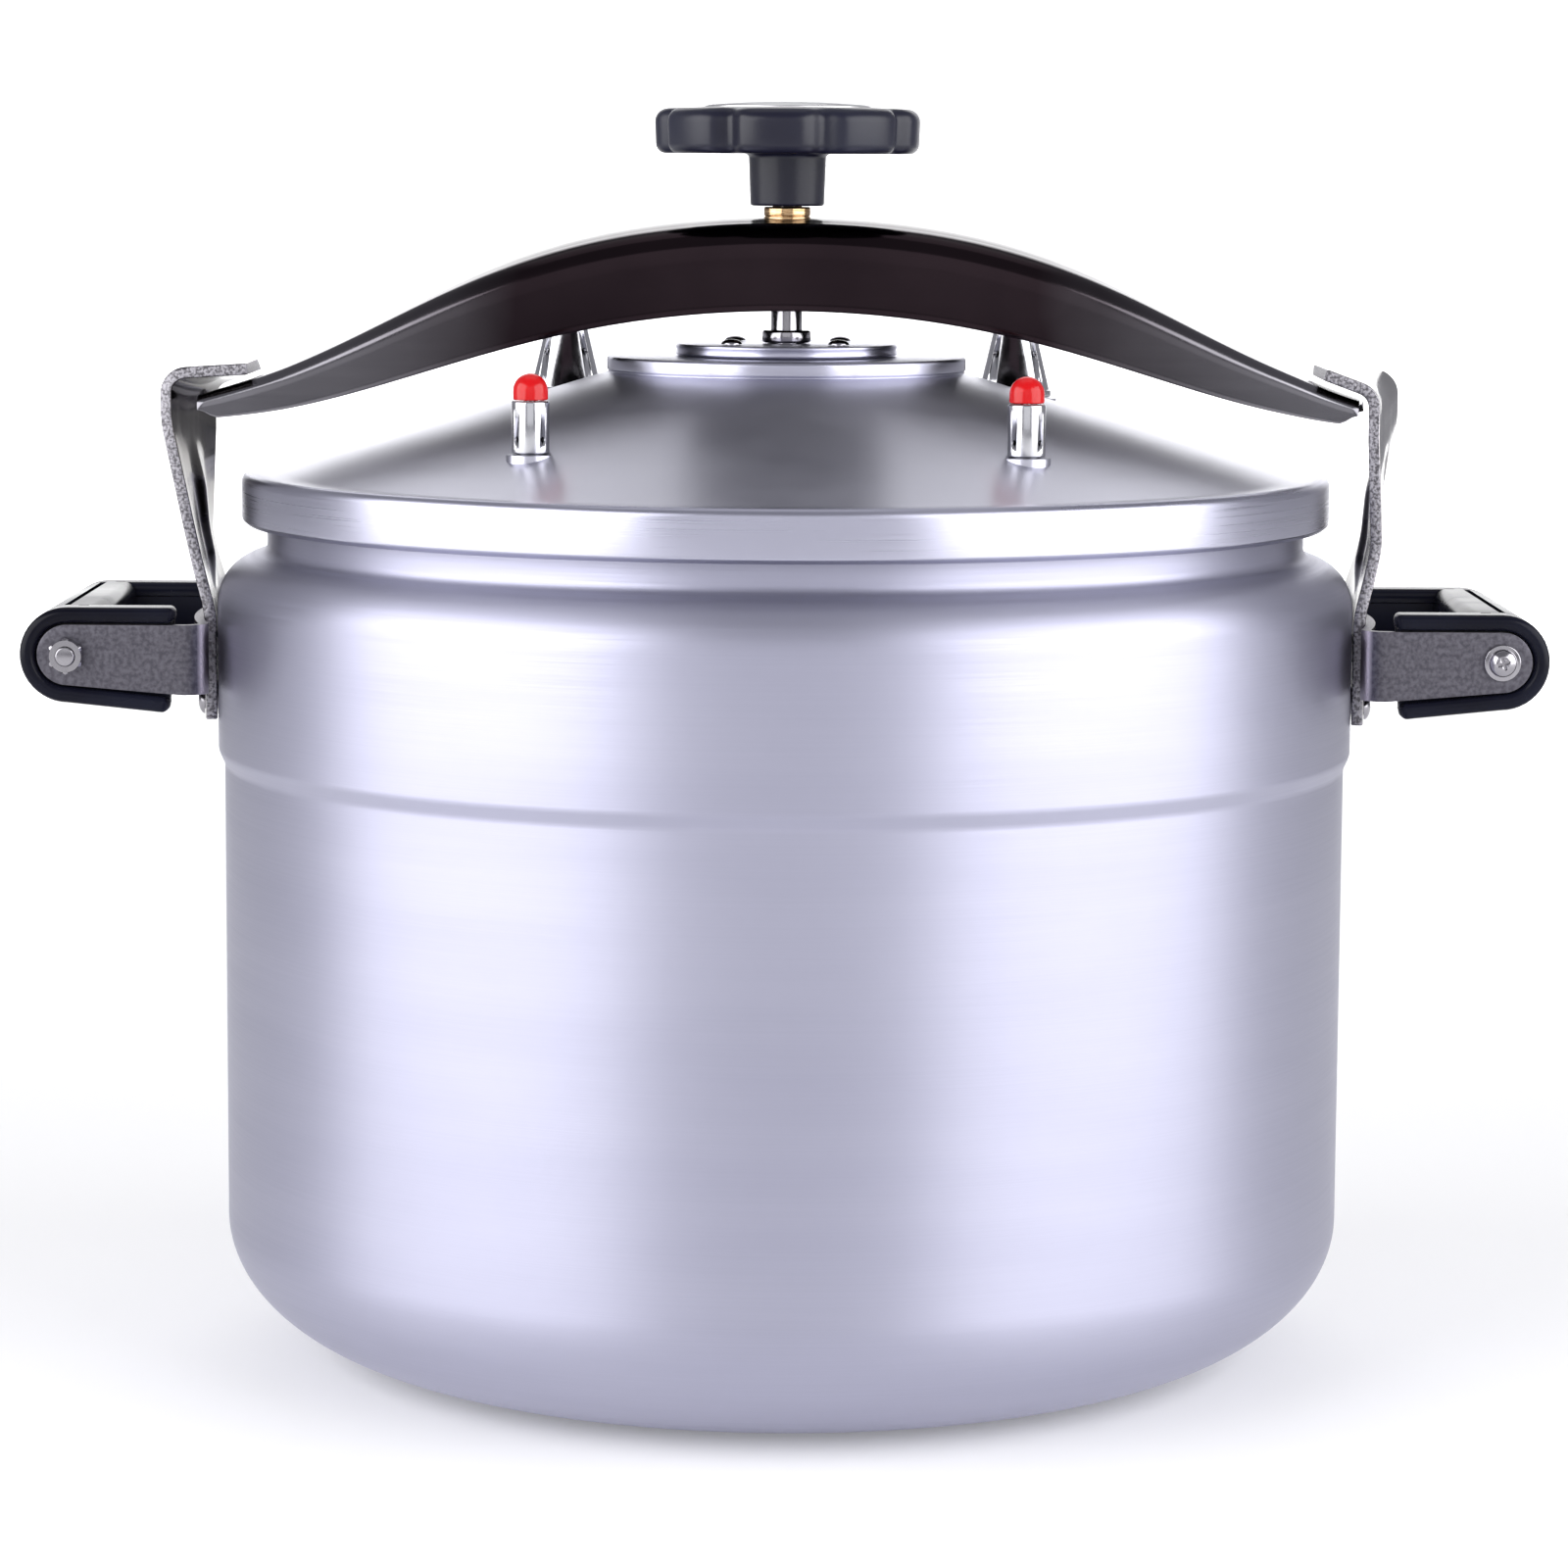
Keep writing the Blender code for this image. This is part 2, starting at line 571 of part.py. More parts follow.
def make_lid():
    lid = turned("lid", lid_profile(), LID_ALUMINIUM, turns=TURNS_FINE)
    seats = []
    for right in (False, True):
        label = "right" if right else "left"
        seats.append((label + "_safety", SAFETY_CIRCLE, SAFETY_SEAT, SAFETY_STUD_RADIUS,
                      valve_place(SAFETY_CIRCLE, SAFETY_ANGLE, True, right)))
        seats.append((label + "_weight", WEIGHT_CIRCLE, WEIGHT_SEAT, PIPE_RADIUS,
                      valve_place(WEIGHT_CIRCLE, WEIGHT_ANGLE, False, right)))
    for label, circle, seat_radius, stud, place in seats:
        low = boss_bottom(circle, seat_radius) - seat_height(circle)
        rim = seat_radius + VALVE_SEAT_RIM
        join(lid, rod(label + "_boss", rim, low, GAP, place=place, turns=TURNS_SEAT))
        cut(lid, rod(label + "_spotface", seat_radius, 0.0, 10 * CUT_PAST, place=place, turns=TURNS_SEAT))
        cut(lid, rod(label + "_hole", stud + BOLT_ROOM, low - CUT_PAST, CUT_PAST, place=place))
    for number, place in plate_rivet_places():
        cut(lid, rod(f"lid_rivet_hole_{number}", PLATE_RIVET_RADIUS + BOLT_ROOM,
                     RING_TOP - HUB_THICKNESS - CUT_PAST, RING_TOP + CUT_PAST, place=place, turns=TURNS_HOLE))


def make_gasket():
    low, high = POT_HEIGHT + GAP, CHANNEL_TOP - GAP
    inner, outer = SKIRT_INNER - GASKET_WIDTH - GAP, SKIRT_INNER - GAP
    turned("lid_gasket", [(outer, high), (outer, low), (inner, low), (inner, high)], RUBBER,
           turns=TURNS_FINE, closed=True)


# ---------------------------------------------------------------- pressure plate, collar, screw and knob
def ring_profile(inner, outer, low, high):
    """Closed profile of a flat ring whose outer edges are chamfered."""
    return [(outer - EDGE_BREAK, high), (outer, high - EDGE_BREAK), (outer, low + EDGE_BREAK),
            (outer - EDGE_BREAK, low), (inner, low), (inner, high)]


def make_pressure_plate():
    profile = ring_profile(SPINDLE_RADIUS + PLATE_ROOM, PLATE_RADIUS, RING_TOP + GAP, PLATE_TOP)
    plate = turned("pressure_plate", profile, LID_ALUMINIUM, turns=TURNS_DISC, closed=True)
    for number, place in plate_rivet_places():
        cut(plate, rod(f"plate_rivet_hole_{number}", PLATE_RIVET_RADIUS + BOLT_ROOM, RING_TOP - CUT_PAST,
                       PLATE_TOP + CUT_PAST, place=place, turns=TURNS_HOLE))
        rivet(f"plate_rivet_{number}", PLATE_RIVET_RADIUS, PLATE_RIVET_HEAD, PLATE_RIVET_HEAD_HEIGHT,
              PLATE_TOP + GAP, RING_TOP - HUB_THICKNESS - GAP, POLISHED, place)


def rivet(name, radius, head, head_height, top, bottom, finish, place):
    """A round rivet with a domed head at each end, clamping what lies between bottom and top."""
    dome = arc((0.0, top), head, head_height, 90, 0, 2)
    foot = arc((0.0, bottom), head, head_height, 0, -90, 2)
    return turned(name, dome + [(radius, top), (radius, bottom)] + foot, finish, place, TURNS_HOLE)


def make_collar():
    profile = ring_profile(SPINDLE_RADIUS + RUNNING_GAP, COLLAR_RADIUS, PLATE_TOP + GAP, COLLAR_TOP)
    turned("thrust_collar", profile, POLISHED, closed=True)


def make_spindle():
    foot_bottom = RING_TOP - FOOT_SOCKET_DEPTH + GAP
    top = KNOB_FLOOR + GAP + KNOB_NUT_HEIGHT + EDGE_BREAK
    profile = [(0.0, top), (SPINDLE_RADIUS - EDGE_BREAK, top), (SPINDLE_RADIUS, top - EDGE_BREAK),
               (SPINDLE_RADIUS, foot_bottom + FOOT_HEIGHT), (FOOT_RADIUS, foot_bottom + FOOT_HEIGHT),
               (FOOT_RADIUS, foot_bottom + EDGE_BREAK), (FOOT_RADIUS - EDGE_BREAK, foot_bottom),
               (0.0, foot_bottom)]
    turned("spindle", profile, POLISHED)


def make_bush():
    flange_top = BEAM_CROWN - BEAM_SHEET - BEAM_CAMBER - 2 * GAP
    bore = SPINDLE_RADIUS + RUNNING_GAP
    profile = [(BUSH_RADIUS, BUSH_TOP), (BUSH_RADIUS, flange_top), (BUSH_FLANGE_RADIUS, flange_top),
               (BUSH_FLANGE_RADIUS, flange_top - BUSH_FLANGE_HEIGHT), (bore, flange_top - BUSH_FLANGE_HEIGHT),
               (bore, BUSH_TOP)]
    turned("brass_bush", profile, BRASS, closed=True)


def knob_reach(angle):
    """Distance from the axis to the knob's edge: round lobes with narrower finger hollows between them."""
    lobe = abs(math.cos(KNOB_LOBES * angle / 2))
    return KNOB_RADIUS - KNOB_LOBE_DEPTH * (1 - lobe) ** KNOB_LOBE_POWER


def make_knob():
    shape = bmesh.new()
    middle = (KNOB_UNDERSIDE + KNOB_TOP) / 2
    bmesh.ops.create_cone(shape, cap_ends=True, segments=KNOB_LOBES * 5, radius1=1.0, radius2=1.0,
                          depth=KNOB_THICKNESS, matrix=Matrix.Translation((0, 0, middle)))
    for point in shape.verts:
        angle = math.atan2(point.co.y, point.co.x)
        point.co.xy = Vector((math.cos(angle), math.sin(angle))) * knob_reach(angle)
    knob = add_object("knob", mesh_from("knob", shape), KNOB_PLASTIC)
    soften(knob, KNOB_EDGE, 1)
    join(knob, rod("knob_hub", KNOB_HUB_RADIUS, KNOB_BOTTOM, KNOB_UNDERSIDE + CUT_PAST, turns=TURNS_DISC))
    cut(knob, rod("knob_recess", KNOB_RECESS_RADIUS, KNOB_FLOOR, KNOB_TOP + CUT_PAST, turns=TURNS_DISC))
    cut(knob, rod("knob_bore", SPINDLE_RADIUS + RUNNING_GAP, KNOB_BOTTOM - CUT_PAST, KNOB_FLOOR + CUT_PAST))


def make_knob_fittings():
    bore = SPINDLE_RADIUS + RUNNING_GAP
    hex_nut("knob_nut", KNOB_NUT_ACROSS, KNOB_NUT_HEIGHT, bore, KNOB_FLOOR + GAP, POLISHED, Matrix())
    rim = KNOB_RECESS_RADIUS - GAP
    dome = arc((0.0, KNOB_TOP), rim, CAP_DOME, 90, 0, 3)
    hollow = arc((0.0, KNOB_TOP), rim - CAP_WALL, CAP_DOME - CAP_WALL, 0, 90, 2)
    skirt = [(rim, KNOB_FLOOR + GAP), (rim - CAP_WALL, KNOB_FLOOR + GAP)]
    turned("knob_cap", dome + skirt + hollow, CHROME, turns=TURNS_DISC)


# ---------------------------------------------------------------- the arched beam
def beam_lines():
    """Heights along half the beam: its crown line and the lower edge of its flanges, as points (x, z)."""
    end_top = BEAM_CROWN - BEAM_DROP
    low_middle, low_end = BEAM_CROWN - BEAM_DEPTH_MIDDLE, end_top - BEAM_DEPTH_END
    crown = bezier((0.0, BEAM_CROWN), (0.54 * BEAM_END, BEAM_CROWN),
                   (0.64 * BEAM_END, end_top + BEAM_CROWN_TAIL), (BEAM_END, end_top), BEAM_LINE_STEPS)
    lower = bezier((0.0, low_middle), (0.47 * BEAM_END, low_middle),
                   (0.68 * BEAM_END, low_end + BEAM_EDGE_TAIL), (BEAM_END, low_end), BEAM_LINE_STEPS)
    return crown, lower


def height_along(line, x):
    for (x0, z0), (x1, z1) in zip(line, line[1:]):
        if x <= x1:
            return mixed(z0, z1, (x - x0) / (x1 - x0))
    return line[-1][1]


def beam_point(u, v):
    """Middle of the beam's sheet: u runs along the arch, v runs round the channel from edge to edge."""
    crown, lower = BEAM_LINES
    reach, round_share = abs(u), abs(v)
    x = BEAM_END * reach
    top = height_along(crown, x) - BEAM_SHEET / 2
    taper = smooth_step(BEAM_TAPER_START, 1.0, reach)
    half = mixed(BEAM_HALF_WIDTH, BEAM_END_HALF_WIDTH, taper) - BEAM_SHEET / 2
    fillet = mixed(BEAM_FILLET, BEAM_END_FILLET, taper) - BEAM_SHEET / 2
    camber = mixed(BEAM_CAMBER, BEAM_END_CAMBER, taper)
    third = round_share * 3
    if third <= 1.001:
        y, z = (half - fillet) * third, top - camber * third * third
    elif third <= 2.001:
        angle = math.radians(90 * (third - 1))
        y, z = half - fillet + fillet * math.sin(angle), top - camber - fillet * (1 - math.cos(angle))
    else:
        edge = height_along(lower, x) + BEAM_END_LIFT * smooth_step(0.965, 1.0, reach)
        y, z = half, mixed(top - camber - fillet, edge, third - 2)
    y = math.copysign(y, v)
    slant = BEAM_END_SLANT * y * smooth_step(0.85, 1.0, reach)
    return math.copysign(x, u) + slant, y, z


def make_beam():
    beam = sheet("clamp_beam", 26, 12, beam_point, BEAM_SHEET, DARK_CHROME)
    cut(beam, rod("beam_hole", BUSH_RADIUS + BOLT_ROOM, BEAM_CROWN - 5 * CUT_PAST, BEAM_CROWN + CUT_PAST))


# ---------------------------------------------------------------- hooks, brackets and grips, one set a side
def radial(angle, height):
    """A place whose Z axis points away from the pot's axis, at an angle and a height."""
    return (Matrix.Rotation(angle, 4, "Z") @ Matrix.Translation((0, 0, height))
            @ Matrix.Rotation(math.pi / 2, 4, "Y"))


def rivet_hole(name, angle, height, side_place):
    """A cutter for one mount rivet, through the pot, the hook and the bracket's web."""
    return rod(name, MOUNT_RIVET_RADIUS + BOLT_ROOM, BAND_RADIUS - 5 * POT_WALL, BAND_RADIUS + 5 * POT_WALL,
               place=side_place @ radial(angle, height), turns=TURNS_HOLE)


def mount_rivet_places():
    """Angle, height and clamped thickness of the rivets of one side: the lower ones hold only the hook."""
    angle = MOUNT_RIVET_SPREAD / BAND_RADIUS
    through_web = BRACKET_RADIUS + BRACKET_SHEET / 2
    through_hook = BAND_RADIUS + GAP + HOOK_THICKNESS
    upper = POT_HEIGHT - MOUNT_RIVET_DROP - MOUNT_RIVET_PITCH / 2
    lower = BRACKET_BOTTOM - MOUNT_RIVET_HEAD - 2 * GAP
    return [(-angle, upper, through_web), (angle, upper, through_web),
            (-angle, lower, through_hook), (angle, lower, through_hook)]


def hook_paths():
    """Middle of the hook's plate along its two edges, from its foot to the claw's tip, as (x, z)."""
    crown, _ = BEAM_LINES
    base = BAND_RADIUS + GAP + HOOK_THICKNESS / 2
    foot = POT_HEIGHT - HOOK_FOOT_DROP
    tip_x = BEAM_END - CLAW_LENGTH
    over = CLAW_ROOM + HOOK_THICKNESS / 2
    tip_z = height_along(crown, tip_x) + over
    end_z = height_along(crown, BEAM_END) + over
    open_x, stop_x = BEAM_END + OPEN_EDGE_REACH, BEAM_END + STOP_EDGE_REACH
    tip = (tip_x, tip_z + 0.0006)
    start = [(base, foot), (base, BAND_TOP + 0.003)]
    open_corners = start + [(mixed(base, open_x, 0.62), BAND_TOP + 0.041), (open_x, BAND_TOP + 0.064),
                            (open_x, end_z + 0.0034), tip]
    stop_corners = start + [(stop_x + 0.0016, BAND_TOP + 0.026), (stop_x, BAND_TOP + 0.060),
                            (stop_x, end_z - 0.0010), tip]
    return (along_path(rounded_path(open_corners, [0.05, 0.05, 0.04, CLAW_BEND], 6)),
            along_path(rounded_path(stop_corners, [0.05, 0.03, 0.04, CLAW_BEND], 6)))


def hook_point(u, v):
    """Middle of the hook's plate, straight across between its edges and bent round the pot at its foot."""
    open_edge, stop_edge = HOOK_PATHS
    share = (u + 1) / 2
    along = mixed(stop_edge(share), open_edge(share), (v + 1) / 2)
    half = mixed(HOOK_BASE_HALF_WIDTH, HOOK_HALF_WIDTH, smooth_step(BAND_TOP, BAND_TOP + 0.028, along.y))
    y = half * v
    base = BAND_RADIUS + GAP + HOOK_THICKNESS / 2
    bend = (base - math.sqrt(base * base - y * y)) * (1 - smooth_step(BAND_TOP, BAND_TOP + 0.03, along.y))
    return along.x - bend, y, along.y


def make_hook(label, side_place):
    hook = sheet(label + "_hook", 24, 4, hook_point, HOOK_THICKNESS, POLISHED, side_place)
    for angle, height, _ in mount_rivet_places():
        cut(hook, rivet_hole(f"{label}_hook_hole_{height:.3f}_{angle:.3f}", angle, height, side_place))


def bracket_point(u, v):
    """Middle of the bracket's strip: u runs from one arm's tip, round the web, to the other arm's tip."""
    reach = abs(u)
    low, high = BRACKET_BOTTOM, BRACKET_TOP
    if reach <= WEB_SHARE:
        angle = WEB_ANGLE * reach / WEB_SHARE
        x, y = BRACKET_RADIUS * math.cos(angle), BRACKET_RADIUS * math.sin(angle)
    elif reach <= BEND_SHARE:
        bend = math.radians(90 * (reach - WEB_SHARE) / (BEND_SHARE - WEB_SHARE))
        x = ARM_START - BRACKET_BEND * math.cos(bend)
        y = BRACKET_HALF_SPREAD - BRACKET_BEND * (1 - math.sin(bend))
    elif reach <= ARM_SHARE:
        share = (reach - BEND_SHARE) / (ARM_SHARE - BEND_SHARE)
        x, y = mixed(ARM_START, HANDLE_BOLT_X, share), BRACKET_HALF_SPREAD
        low = mixed(low, HANDLE_BOLT_Z - ARM_TIP_RADIUS, share)
    else:
        angle = math.radians(72 * (reach - ARM_SHARE) / (1 - ARM_SHARE))
        x, y = HANDLE_BOLT_X + ARM_TIP_RADIUS * math.sin(angle), BRACKET_HALF_SPREAD
        low = HANDLE_BOLT_Z - ARM_TIP_RADIUS * math.cos(angle)
        high = HANDLE_BOLT_Z + ARM_TIP_RADIUS * math.cos(angle)
    return x, math.copysign(y, u), mixed(low, high, (v + 1) / 2)


def across_place(side_place):
    """A place on the handle bolt's axis whose Z axis points to the front of the right-hand handle."""
    centre = Matrix.Translation((HANDLE_BOLT_X, 0, HANDLE_BOLT_Z))
    return side_place @ centre @ Matrix.Rotation(math.pi / 2, 4, "X")


def make_bracket(label, side_place):
    bracket = sheet(label + "_handle_bracket", 40, 1, bracket_point, BRACKET_SHEET, PLATE_STEEL, side_place)
    for angle, height, _ in mount_rivet_places()[:2]:
        cut(bracket, rivet_hole(f"{label}_web_hole_{angle:.3f}", angle, height, side_place))
    half = BRACKET_HALF_SPREAD + BRACKET_SHEET + CUT_PAST
    cut(bracket, rod(label + "_arm_holes", HANDLE_BOLT_RADIUS + BOLT_ROOM, -half, half,
                     place=across_place(side_place)))


def arm_outline(margin):
    """Outline of an arm, grown by a margin, as (x, z) points."""
    start_x = BAND_RADIUS
    radius = ARM_TIP_RADIUS + margin
    tip = arc((HANDLE_BOLT_X, HANDLE_BOLT_Z), radius, radius, -90, 90, 8)
    bottom = [(start_x, BRACKET_BOTTOM - margin), (ARM_START, BRACKET_BOTTOM - margin)]
    return bottom + tip + [(start_x, BRACKET_TOP + margin)]


def grip_outline():
    start_x = BAND_RADIUS + GRIP_INNER_REACH
    radius = ARM_TIP_RADIUS + GRIP_END_RIM
    tip = arc((HANDLE_BOLT_X, HANDLE_BOLT_Z), radius, radius, -90, 90, 10)
    return [(start_x + 0.002, BRACKET_BOTTOM - GRIP_RIM)] + tip + [(start_x, BRACKET_TOP + GRIP_RIM)]


def make_grip(label, side_place):
    outer = BRACKET_HALF_SPREAD + BRACKET_SHEET / 2 + GRIP_PROUD
    floor = BRACKET_HALF_SPREAD - BRACKET_SHEET / 2 - GAP
    inner = outer - GRIP_CHEEK
    grip = slab(label + "_handle_grip", grip_outline(), -outer, outer, BAKELITE, side_place)
    soften(grip, GRIP_EDGE)
    bar_x = ARM_TIP + GRIP_END_RIM - GRIP_BAR
    past = 5 * CUT_PAST
    cut(grip, block(label + "_finger_gap", (BAND_RADIUS, -inner, BRACKET_BOTTOM - past),
                    (bar_x, inner, BRACKET_TOP + past), place=side_place))
    cut(grip, slab(label + "_front_recess", arm_outline(ARM_ROOM), -outer - past, -floor, place=side_place))
    cut(grip, slab(label + "_rear_recess", arm_outline(ARM_ROOM), floor, outer + past, place=side_place))
    cut(grip, rod(label + "_grip_bore", HANDLE_BOLT_RADIUS + BOLT_ROOM, -outer - past, outer + past,
                  place=across_place(side_place)))


def make_handle_bolt(label, side_place):
    face = BRACKET_HALF_SPREAD + BRACKET_SHEET / 2 + GAP
    nut_low = -face - NUT_HEIGHT
    end = nut_low - HANDLE_BOLT_PAST
    dome = arc((0.0, face), HANDLE_HEAD_RADIUS, HANDLE_HEAD_HEIGHT, 90, 0, 4)
    shank = [(HANDLE_BOLT_RADIUS, face), (HANDLE_BOLT_RADIUS, end), (0.0, end)]
    place = across_place(side_place)
    turned(label + "_handle_bolt", dome + shank, POLISHED, place)
    hex_nut(label + "_handle_nut", HANDLE_NUT_ACROSS, NUT_HEIGHT, HANDLE_BOLT_RADIUS + BOLT_ROOM, nut_low,
            POLISHED, place)


def make_mount_rivets(label, side_place):
    facet_sag = BAND_RADIUS * (1 - math.cos(math.pi / TURNS_FINE))
    inside = BAND_RADIUS - POT_WALL - facet_sag - GAP
    for number, (angle, height, clamped) in enumerate(mount_rivet_places(), 1):
        rivet(f"{label}_mount_rivet_{number}", MOUNT_RIVET_RADIUS, MOUNT_RIVET_HEAD, MOUNT_RIVET_HEAD_HEIGHT,
              clamped + GAP, inside, POLISHED, side_place @ radial(angle, height))


# ---------------------------------------------------------------- valves on the lid
SAFETY_SEAT = SAFETY_RADIUS + 0.0015
WEIGHT_SEAT = WEIGHT_BASE_RADIUS + 0.0006


def crossing_ports(part, label, radius, height, place, spread):
    """Drills a small hole right through in two directions."""
    for number in range(2):
        turn = Matrix.Rotation(math.radians(45 + 90 * number), 4, "Z") @ Matrix.Rotation(math.pi / 2, 4, "Y")
        cut(part, rod(f"{label}_port_{number}", radius, -spread, spread, turns=TURNS_PORT,
                      place=place @ at_height(height) @ turn))


def make_safety_valve(label, place):
    """A spring-loaded safety valve: heights are from its seat on the lid."""
    low = boss_bottom(SAFETY_CIRCLE, SAFETY_SEAT) - seat_height(SAFETY_CIRCLE)
    nut_low = low - GAP - NUT_HEIGHT
    stud_low = nut_low - SAFETY_STUD_PAST
    profile = [(SAFETY_RADIUS - EDGE_BREAK, SAFETY_HEIGHT), (SAFETY_RADIUS, SAFETY_HEIGHT - EDGE_BREAK),
               (SAFETY_RADIUS, GAP), (SAFETY_STUD_RADIUS, GAP), (SAFETY_STUD_RADIUS, stud_low),
               (SAFETY_ORIFICE, stud_low), (SAFETY_ORIFICE, SAFETY_FLOOR), (SAFETY_BORE, SAFETY_FLOOR),
               (SAFETY_BORE, SAFETY_HEIGHT - SAFETY_LIP), (SAFETY_LIP_BORE, SAFETY_HEIGHT - SAFETY_LIP),
               (SAFETY_LIP_BORE, SAFETY_HEIGHT)]
    body = turned(label + "_safety_body", profile, CHROME, place, closed=True)
    crossing_ports(body, label + "_safety", SAFETY_PORT, SAFETY_FLOOR + SAFETY_PORT_RISE, place,
                   2 * SAFETY_RADIUS)
    hex_nut(label + "_safety_nut", NUT_ACROSS, NUT_HEIGHT, SAFETY_STUD_RADIUS + BOLT_ROOM, nut_low, BRASS,
            place)
    plug_low = SAFETY_FLOOR + GAP
    plug_top = plug_low + PLUNGER_HEIGHT
    cap_low = SAFETY_HEIGHT + GAP
    stem_top = cap_low + CAP_HEIGHT * 0.6
    turned(label + "_safety_plunger",
           [(0.0, stem_top), (STEM_RADIUS, stem_top), (STEM_RADIUS, plug_top), (PLUNGER_RADIUS, plug_top),
            (PLUNGER_RADIUS, plug_low), (0.0, plug_low)], POLISHED, place, TURNS_HOLE)
    bore = STEM_RADIUS + GAP
    dome = arc((0.0, cap_low + CAP_HEIGHT - CAP_RADIUS), CAP_RADIUS, CAP_RADIUS, 90, 0, 4)
    turned(label + "_safety_cap",
           dome + [(CAP_RADIUS, cap_low), (bore, cap_low), (bore, stem_top + GAP), (0.0, stem_top + GAP)],
           RED_PLASTIC, place)
    make_spring(label + "_safety_spring", plug_top + GAP + SPRING_WIRE,
                SAFETY_HEIGHT - SAFETY_LIP - GAP - SPRING_WIRE, place)


def make_spring(name, low, high, place):
    """A coil spring of square-cornered wire between two heights."""
    curve = bpy.data.curves.new(name, "CURVE")
    curve.dimensions = "3D"
    curve.bevel_depth = SPRING_WIRE
    curve.bevel_resolution = 0
    curve.use_fill_caps = True
    steps = SPRING_COILS * SPRING_STEPS
    line = curve.splines.new("POLY")
    line.points.add(steps)
    for i, point in enumerate(line.points):
        angle = math.tau * SPRING_COILS * i / steps
        point.co = (SPRING_RADIUS * math.cos(angle), SPRING_RADIUS * math.sin(angle),
                    mixed(low, high, i / steps), 1.0)
    spring = bpy.data.objects.new(name, curve)
    spring.matrix_world = place
    curve.materials.append(SPRING_STEEL)
    PARTS.objects.link(spring)


def make_limit_weight(label, place):
    """A vent pipe through the lid and the loose weight that sits on it: heights are from the seat."""
    low = boss_bottom(WEIGHT_CIRCLE, WEIGHT_SEAT) - seat_height(WEIGHT_CIRCLE)
    nut_low = low - GAP - NUT_HEIGHT
    stud_low = nut_low - SCREEN_HEIGHT - PIPE_STUD_PAST
    pipe_top = WEIGHT_ROOF - GAP
    flange_top = GAP + PIPE_FLANGE_HEIGHT
    turned(label + "_vent_pipe",
           [(PIPE_RADIUS - PIPE_NOSE / 2, pipe_top), (PIPE_RADIUS, pipe_top - PIPE_NOSE),
            (PIPE_RADIUS, flange_top), (PIPE_FLANGE_RADIUS, flange_top), (PIPE_FLANGE_RADIUS, GAP),
            (PIPE_RADIUS, GAP), (PIPE_RADIUS, stud_low), (PIPE_BORE, stud_low), (PIPE_BORE, pipe_top)],
           BRASS, place, closed=True)
    hex_nut(label + "_vent_nut", NUT_ACROSS, NUT_HEIGHT, PIPE_RADIUS + BOLT_ROOM, nut_low, BRASS, place)
    screen_top, screen_low = nut_low - SCREEN_ROOM, stud_low - SCREEN_PAST
    screen = turned(label + "_vent_screen",
                    [(SCREEN_RADIUS, screen_top), (SCREEN_RADIUS, screen_low), (0.0, screen_low)],
                    POLISHED, place, TURNS_HOLE)
    screen_wall = screen.modifiers.new("wall", "SOLIDIFY")
    screen_wall.thickness = SCREEN_RADIUS - PIPE_RADIUS - BOLT_ROOM
    screen_wall.offset = -1.0
    screen_wall.use_even_offset = True
    crossing_ports(screen, label + "_screen", SCREEN_PORT, stud_low - PIPE_STUD_PAST, place,
                   2 * SCREEN_RADIUS)
    cavity, throat = PIPE_FLANGE_RADIUS + WEIGHT_ROOM, PIPE_RADIUS + WEIGHT_ROOM
    weight = turned(label + "_limit_weight",
                    [(0.0, WEIGHT_HEIGHT), (WEIGHT_TOP_RADIUS - EDGE_BREAK, WEIGHT_HEIGHT),
                     (WEIGHT_TOP_RADIUS, WEIGHT_HEIGHT - EDGE_BREAK), (WEIGHT_BASE_RADIUS, GAP + WEIGHT_FOOT),
                     (WEIGHT_BASE_RADIUS, GAP), (cavity, GAP), (cavity, flange_top + 2 * WEIGHT_ROOM),
                     (throat, WEIGHT_THROAT_HEIGHT), (throat, WEIGHT_ROOF), (0.0, WEIGHT_ROOF)],
                    CHROME, place, TURNS_SEAT)
    crossing_ports(weight, label + "_weight", WEIGHT_PORT, WEIGHT_PORT_HEIGHT, place, 2 * WEIGHT_BASE_RADIUS)


# ---------------------------------------------------------------- the whole canner
BEAM_LINES = beam_lines()
HOOK_PATHS = hook_paths()
SIDES = [(Matrix.Rotation(math.pi, 4, "Z"), "left"), (Matrix(), "right")]

make_pot()
make_lid()
make_gasket()
make_pressure_plate()
make_collar()
make_spindle()
make_bush()
make_beam()
make_knob()
make_knob_fittings()
for side_place, label in SIDES:
    make_hook(label, side_place)
    make_bracket(label, side_place)
    make_grip(label, side_place)
    make_handle_bolt(label, side_place)
    make_mount_rivets(label, side_place)
for right, label in ((False, "left"), (True, "right")):
    make_safety_valve(label, valve_place(SAFETY_CIRCLE, SAFETY_ANGLE, True, right))
    make_limit_weight(label, valve_place(WEIGHT_CIRCLE, WEIGHT_ANGLE, False, right))
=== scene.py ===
import math

import bmesh
import bpy
import numpy as np
from mathutils import Matrix, Vector


